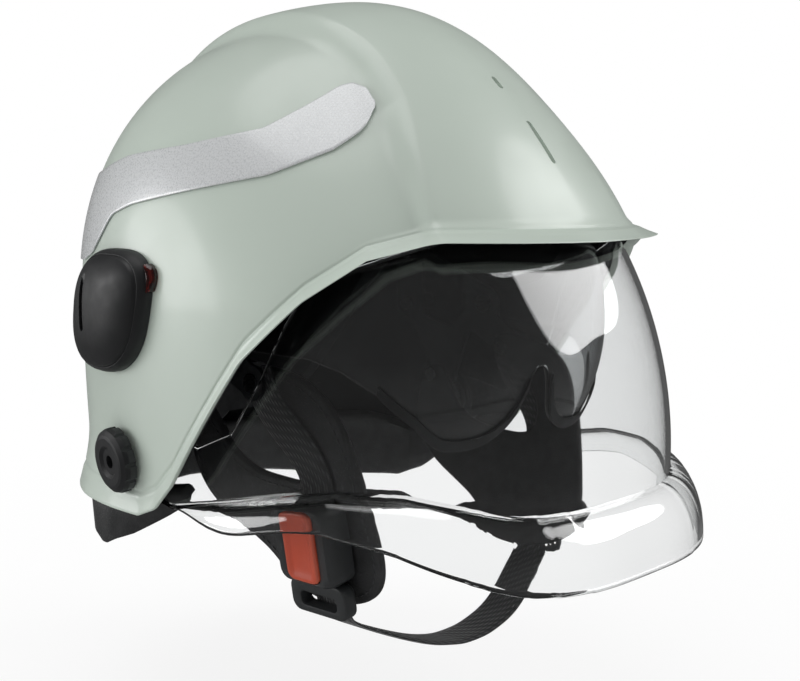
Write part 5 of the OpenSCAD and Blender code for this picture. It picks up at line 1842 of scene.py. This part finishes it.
@dataclass
class Harness:
    """Leather yokes, webbing, buckle and chin strap."""

    yoke_x: float = 90.9
    yoke_top: float = -22
    lean: float = 10
    yoke_t: float = 4
    web_w: float = 20
    web_t: float = 1.8
    gap: float = 0.3
    buckle_y: float = -54
    buckle_v: float = -77
    buckle_w: float = 34
    buckle_h: float = 38
    buckle_t: float = 14
    button_w: float = 19
    button_h: float = 33
    travel: float = 2.5
    blade_w: float = 22
    blade_t: float = 3.2
    blade_in: float = 24
    tongue_h: float = 16
    seam_in: float = 3.6
    seat: float = 2
    plate_off: float = 1.2
    plate_gap: float = 0.4
    web_points: int = 60
    web_line: Table = ((-26, -4), (-27, -14), (-34, -26), (-47, -38), (-54, -50), (-54, -62), (-54, -93))
    yoke: Table = ((-34, -26), (-50, -29), (-61, -35), (-68.5, -43.5), (-73.5, -54), (-77.5, -66),
                   (-80.5, -80), (-83, -95), (-85, -110), (-82, -121), (-74, -128.5), (-60, -133),
                   (-46, -134), (-34, -132), (-25, -126.5), (-15, -116), (-2, -109), (14, -100.5),
                   (26, -90), (31, -76), (31, -60), (28, -48), (16, -46), (10, -56), (0, -70), (-14, -76.5),
                   (-28, -77.5), (-44, -78), (-52, -74), (-53, -62), (-44, -50), (-26, -42), (-18, -34),
                   (-22, -26))
    strap: Table = ((0, -161), (8.2, -160.8), (16.4, -159.3), (28.2, -156.5), (41.8, -151.6), (53.6, -146.6),
                    (63.6, -142), (69.5, -138.6), (72.6, -135), (73.8, -130.5), (75, -125), (76.4, -118))
    bow: float = 12

    @property
    def back(self) -> float:
        """Seat of the buckle over the webbing."""
        return -self.gap - self.web_t - self.gap

    @property
    def frame_v(self) -> float:
        """Lower edge of the buckle's body along the yoke's plane."""
        return self.buckle_v - self.buckle_h / 2

    def on_yoke(self, points: np.ndarray) -> np.ndarray:
        """Takes points from the right-hand yoke's own plane to the helmet.

        Args:
            points: points [x, y, z] in the yoke's plane.

        Returns:
            The points in the helmet's frame.
        """
        a = math.radians(self.lean)
        x, y, z = points[:, 0], points[:, 1], points[:, 2]
        return np.stack([x * math.cos(a) - z * math.sin(a) - self.yoke_x, y,
                         x * math.sin(a) + z * math.cos(a) + self.yoke_top], 1)

    def build(self) -> None:
        """Makes both sides of the harness and the chin strap."""
        for side in Side:
            self.yoke_side(side)
            self.web_side(side)
        self.buckle()
        self.button()
        self.tongue()
        self.slider()
        self.chin_strap()

    def yoke_side(self, side: Side) -> None:
        """A leather yoke with a row of stitches inside its edge.

        Args:
            side: the side of the helmet.
        """
        outline = rounded_path([(y, z - self.yoke_top) for y, z in self.yoke], 3)
        piece = flat_shape("yoke_" + side.word + "_leather", outline, self.yoke_t, 1.3)
        move(piece, self.on_yoke)
        dress(mirrored(piece, side), YOKE_LEATHER, Body.HELMET, "yoke_leather", "yoke_" + side.word)
        tangent = unit(np.roll(outline, -1, 0) - np.roll(outline, 1, 0))
        normal = np.stack([-tangent[:, 1], tangent[:, 0]], 1)
        sign = 1 if (inside(outline, *(outline + normal * 2).T).mean() > 0.5) else -1
        seam = outline + normal * self.seam_in * sign
        path = self.on_yoke(np.column_stack([np.full(len(seam), -0.15), seam]))
        row = stitches("yoke_stitches_" + side.word, path)
        dress(mirrored(row, side), THREAD, Body.HELMET, "webbing")

    def web_side(self, side: Side) -> None:
        """Webbing from the frame's rivet down to the buckle or the slider.

        Args:
            side: the side of the helmet.
        """
        line = even_path(rounded_path(self.web_line, 3, closed=False), self.web_points)
        tangent = unit(np.gradient(line, axis=0))
        none = np.zeros(self.web_points)
        centre = np.column_stack([none - self.gap - self.web_t / 2, line])
        across = np.column_stack([none, -tangent[:, 1], tangent[:, 0]])
        piece = band("web_" + side.word + "_woven", centre, across, self.web_w, self.web_t)
        move(piece, self.on_yoke)
        dress(mirrored(piece, side), WEB_POLYESTER, Body.HELMET, "webbing", "web_" + side.word)

    def place_buckle(self, piece: bpy.types.Object, v: float) -> bpy.types.Object:
        """Moves a buckle piece from its own middle onto the yoke's plane."""
        move(piece, lambda p: p + [0, self.buckle_y, v])
        return move(piece, self.on_yoke)

    def buckle(self) -> None:
        """Buckle body with a well for its button."""
        w, h, b = self.buckle_w, self.buckle_h, self.back
        top = b - self.buckle_t
        well_w, well_h = self.button_w + 0.5, self.button_h + 0.5
        steps = [(w, h, 6, b), (w, h, 6, top + 5), (w - 0.8, h - 0.7, 5.8, top + 2.6),
                 (w - 2.4, h - 2, 5.4, top + 0.9), (w - 4.6, h - 3.4, 5, top),
                 (well_w + 1.4, well_h + 0.8, 4.6, top), (well_w + 0.3, well_h + 0.2, 4.4, top + 0.3),
                 (well_w, well_h, 4.25, top + 1), (well_w, well_h, 4.25, b - self.seat - self.blade_t - 0.3)]
        piece = loft("buckle_body_moulded", [rounded_ring(*s) for s in steps], sharp=38)
        self.place_buckle(piece, self.buckle_v)
        dress(piece, BUCKLE_NYLON, Body.HELMET, "black_plastic", "buckle_body")

    def button(self) -> None:
        """Push button with a dished face."""
        w, h = self.button_w, self.button_h
        foot = self.back - self.seat - self.blade_t - 0.5 - self.travel
        top = self.back - self.buckle_t - 1.4
        steps = [(w, h, 4, foot), (w, h, 4, top + 1.4), (w - 0.7, h - 0.7, 3.8, top + 0.45),
                 (w - 2, h - 2, 3.4, top), (w - 4.4, h - 4.4, 2.6, top + 0.1), (w - 6.4, h - 7, 2, top + 0.8),
                 (w - 9, h - 12, 1.6, top + 1.1)]
        piece = loft("buckle_button_moulded", [rounded_ring(*s) for s in steps], sharp=50)
        self.place_buckle(piece, self.buckle_v)
        dress(piece, BUTTON_POM, Body.BUTTON, "orange_button", "buckle_button")

    def loop_plate(self, name: str, size: tuple[float, float, float], hole: tuple[float, float, float],
                   middle: float) -> bpy.types.Object:
        """A rounded plate with one long hole for webbing.

        Args:
            name: the piece's name.
            size: width along Y, height along Z and thickness.
            hole: width, height and height above the plate's middle of the hole.
            middle: height of the plate's middle.

        Returns:
            The new piece.
        """
        w, h, t = size
        hole_w, hole_h, hole_z = hole
        x = self.back - self.plate_off
        outer = [rounded_ring(w - 2 * e, h - 2 * e, 5 - e, x - d)
                 for e, d in ((1, 0), (0.3, 0.3), (0, 1), (0, t - 1), (0.3, t - 0.3), (1, t))]
        inner = [rounded_ring(hole_w + 2 * e, hole_h + 2 * e, 2.4, x - d) + [0, 0, hole_z]
                 for e, d in ((0.8, t), (0.2, t - 0.2), (0, t - 0.8), (0, 0.8), (0.2, 0.2), (0.8, 0))]
        piece = loft(name, outer + inner, closed=True, sharp=50)
        return move(piece, lambda p: p + [0, 0, middle])

    def tongue(self) -> None:
        """Tongue: a blade that enters the buckle and a loop for the chin strap."""
        frame = self.loop_plate("frame", (self.buckle_w, self.tongue_h, 7), (self.blade_w, 6.5, -1.2),
                                -self.tongue_h / 2 - self.plate_gap)
        x, w, h = self.back - self.seat, self.blade_w, self.blade_in + 5
        steps = [(w - 1, h - 1, 2, x), (w, h, 2, x - 0.6), (w, h, 2, x - self.blade_t + 0.6),
                 (w - 1, h - 1, 2, x - self.blade_t)]
        blade = loft("blade", [rounded_ring(*s) for s in steps])
        move(blade, lambda p: p + [0, 0, self.blade_in / 2 - 3])
        piece = join("buckle_tongue_moulded", frame, blade)
        self.place_buckle(piece, self.frame_v)
        dress(piece, BUCKLE_NYLON, Body.TONGUE, "black_plastic", "buckle_tongue")

    def slider(self) -> None:
        """Strap slider on the left-hand side, with two holes."""
        w, h = self.buckle_w - 4, self.tongue_h + 4
        upper, lower = [self.loop_plate("half", (w, h / 2 + 1, 4.4), (self.blade_w, 3.6, 0.4 * way),
                                        (h / 4 - 0.5) * way) for way in (1, -1)]
        piece = join("strap_slider_moulded", upper, lower)
        move(piece, lambda p: p + [0, 0, -self.tongue_h / 2 - self.plate_gap])
        self.place_buckle(piece, self.frame_v)
        dress(mirrored(piece, Side.LEFT), BUCKLE_NYLON, Body.HELMET, "black_plastic", "strap_slider")

    def chin_strap(self) -> None:
        """Chin strap from the slider round under the chin to the tongue."""
        half = rounded_path(self.strap, 2, closed=False)
        path = even_path(np.concatenate([half[:0:-1] * [-1, 1], half]), 180)
        forward = self.bow * smooth_step(136, 160, -path[:, 1])
        centre = np.column_stack([path[:, 0], self.buckle_y - forward, path[:, 1]])
        piece = band("chin_strap_woven", centre, np.array([0, 1.0, 0]), self.web_w, self.web_t)
        dress(piece, WEB_POLYESTER, None, "webbing", "chin_strap")
        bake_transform(piece)


@dataclass
class Fittings:
    """Frame nodes that keep their own shape and get a better finish."""

    looks: dict[str, Finish] = field(default_factory=lambda: {
        "hinge_cap_right": COVER_NYLON, "hinge_cap_left": COVER_NYLON,
        "hinge_bush_right": STEEL, "hinge_bush_left": STEEL,
        "hinge_clip_right": STEEL, "hinge_clip_left": STEEL,
        "side_frame_right": COVER_NYLON, "side_frame_left": COVER_NYLON, "frame_screws": STEEL,
        "visor_pin_right": STEEL, "visor_pin_left": STEEL,
        "rack_right": BAND_NYLON, "rack_left": BAND_NYLON,
        "ratchet_pinion": STEEL, "ratchet_housing": COVER_NYLON, "ratchet_cover": COVER_NYLON,
        "ratchet_knob": BUCKLE_NYLON, "yoke_rivets": STEEL})

    def build(self, nodes: dict[str, bpy.types.Object]) -> None:
        """Gives each node its finish.

        Args:
            nodes: the frame's nodes by name.
        """
        for name, finish in self.looks.items():
            nodes[name].data.materials.clear()
            nodes[name].data.materials.append(finish.material())


# Studio


@dataclass
class Studio:
    """Camera, pale floor and soft lights."""

    azimuth: float = -46
    elevation: float = 4.4
    distance: float = 650
    focal: float = 1300
    picture: tuple[float, float] = (800, 681)
    origin_at: tuple[float, float] = (360.5, 292)
    floor_z: float = -200
    floor_half: float = 3000
    soft_level: float = 0.5
    gloss_level: float = 0.1

    def build(self) -> None:
        """Sets up the camera, the world, the floor and the lights."""
        self.camera()
        self.world()
        self.floor()
        self.lamp("key", (1.8, -1.5, 1.5), 2.0, 37)
        self.lamp("left", (-1.75, 1.75, 0.2), 1.8, 32)
        self.lamp("top", (-0.4, 0.3, 2.4), 2.0, 20)
        bpy.context.scene.view_settings.view_transform = "Standard"

    def camera(self) -> None:
        """Places the camera at the photograph's viewing angle."""
        a, e = math.radians(self.azimuth), math.radians(self.elevation)
        back = Vector((math.sin(a) * math.cos(e), -math.cos(a) * math.cos(e), math.sin(e)))
        right = Vector((math.cos(a), math.sin(a), 0))
        up = back.cross(right)
        wide, high = self.picture
        aside, over = wide / 2 - self.origin_at[0], high / 2 - self.origin_at[1]
        ahead = -back * self.focal + right * aside - up * over
        data = bpy.data.cameras.new("camera")
        data.sensor_width = 36
        data.lens = self.focal / wide * data.sensor_width
        data.clip_start, data.clip_end = 0.01, 50
        eye = link(bpy.data.objects.new("camera", data))
        eye.location = back * self.distance * MM
        eye.rotation_euler = ahead.to_track_quat("-Z", "Y").to_euler()
        bpy.context.scene.camera = eye

    def rays(self, tree: bpy.types.NodeTree) -> tuple[bpy.types.NodeSocket, bpy.types.NodeSocket]:
        """One where the eye looks straight or through glass, and one where a ray comes from a gloss.

        Args:
            tree: the node tree.

        Returns:
            The two sockets.
        """
        path = add_node(tree, "ShaderNodeLightPath").outputs
        ends = {0: path["Is Camera Ray"], 1: path["Is Transmission Ray"]}
        clear = add_node(tree, "ShaderNodeMath", ends, operation="MAXIMUM").outputs[0]
        ends = {0: path["Diffuse Depth"], 1: path["Glossy Depth"]}
        turned = add_node(tree, "ShaderNodeMath", ends, operation="ADD").outputs[0]
        straight = add_node(tree, "ShaderNodeMath", {0: turned, 1: 0.5}, operation="LESS_THAN").outputs[0]
        clear = add_node(tree, "ShaderNodeMath", {0: clear, 1: straight}, operation="MULTIPLY").outputs[0]
        return clear, path["Is Glossy Ray"]

    def level(self, tree: bpy.types.NodeTree, clear: bpy.types.NodeSocket, gloss: bpy.types.NodeSocket,
              plain: float) -> bpy.types.NodeSocket:
        """White for the eye and through glass, dim in a gloss, and plain for soft light.

        Args:
            tree: the node tree.
            clear: one for the eye and through glass.
            gloss: one for a ray from a gloss.
            plain: level of the soft light.

        Returns:
            The level.
        """
        ends = {"Value": gloss, "To Min": plain, "To Max": self.gloss_level}
        dim = add_node(tree, "ShaderNodeMapRange", ends)
        ends = {"Value": clear, "To Min": dim.outputs[0], "To Max": 1.0}
        return add_node(tree, "ShaderNodeMapRange", ends).outputs[0]

    def world(self) -> None:
        """A white surround that lights the object softly and hardly mirrors in its gloss."""
        world = bpy.data.worlds.new("surround")
        bpy.context.scene.world = world
        world.use_nodes = True
        tree = world.node_tree
        shine = tree.nodes["Background"]
        tree.links.new(self.level(tree, *self.rays(tree), self.soft_level), shine.inputs["Strength"])
        shine.inputs["Color"].default_value = (1, 1, 1, 1)

    def floor(self) -> None:
        """A pale floor that keeps the object's shadow and turns white further off."""
        corners = [(x, y, self.floor_z) for x, y in ((-1, -1), (1, -1), (1, 1), (-1, 1))]
        piece = make_mesh("floor", np.array(corners) * [self.floor_half, self.floor_half, 1], [(0, 1, 2, 3)])
        made = bpy.data.materials.new("pale_floor")
        made.use_nodes = True
        tree = made.node_tree
        shader = tree.nodes["Principled BSDF"]
        shader.inputs["Base Color"].default_value = hex_linear("#f4f4f4")
        shader.inputs["Roughness"].default_value = 0.9
        clear, gloss = self.rays(tree)
        level = self.level(tree, clear, gloss, 1.0)
        shine = add_node(tree, "ShaderNodeEmission", {"Color": (1, 1, 1, 1), "Strength": level})
        seen = add_node(tree, "ShaderNodeMath", {0: clear, 1: gloss}, operation="MAXIMUM").outputs[0]
        place = add_node(tree, "ShaderNodeTexCoord").outputs["Object"]
        off = add_node(tree, "ShaderNodeVectorMath", {0: place}, operation="LENGTH").outputs["Value"]
        ends = {"Value": off, "From Min": 0.2, "From Max": 0.75, "To Min": 0.85, "To Max": 1.0}
        share = add_node(tree, "ShaderNodeMapRange", ends, interpolation_type="SMOOTHSTEP").outputs[0]
        share = add_node(tree, "ShaderNodeMath", {0: seen, 1: share}, operation="MULTIPLY").outputs[0]
        mix = add_node(tree, "ShaderNodeMixShader", {0: share, 1: shader.outputs[0], 2: shine.outputs[0]})
        # Seen through from below, so that it doesn't hide the helmet there
        back = add_node(tree, "ShaderNodeNewGeometry").outputs["Backfacing"]
        eye = add_node(tree, "ShaderNodeLightPath").outputs["Is Camera Ray"]
        under = add_node(tree, "ShaderNodeMath", {0: back, 1: eye}, operation="MULTIPLY").outputs[0]
        open_way = add_node(tree, "ShaderNodeBsdfTransparent").outputs[0]
        mix = add_node(tree, "ShaderNodeMixShader", {0: under, 1: mix.outputs[0], 2: open_way})
        tree.links.new(mix.outputs[0], tree.nodes["Material Output"].inputs["Surface"])
        piece.data.materials.append(made)

    def lamp(self, name: str, place: tuple[float, float, float], size: float, watts: float) -> None:
        """Adds one round soft lamp that looks at the helmet.

        Args:
            name: the lamp's name.
            place: where it stands, in metres.
            size: its width in metres.
            watts: its power.
        """
        data = bpy.data.lights.new(name, "AREA")
        data.shape = "DISK"
        data.size = size
        data.energy = watts
        lamp = link(bpy.data.objects.new(name, data))
        lamp.location = place
        lamp.rotation_euler = (-Vector(place)).to_track_quat("-Z", "Y").to_euler()


def main() -> None:
    """Builds the helmet around its frame."""
    logging.basicConfig(level=logging.INFO, format="%(message)s")
    for old in list(bpy.data.objects):
        bpy.data.objects.remove(old)
    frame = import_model()
    for part in (Studio, Shell, SideCover, FaceShield, InnerVisor, Lining, NapePad, Harness):
        part().build()
    Fittings().build(frame["nodes"])


if __name__ == "__main__":
    main()
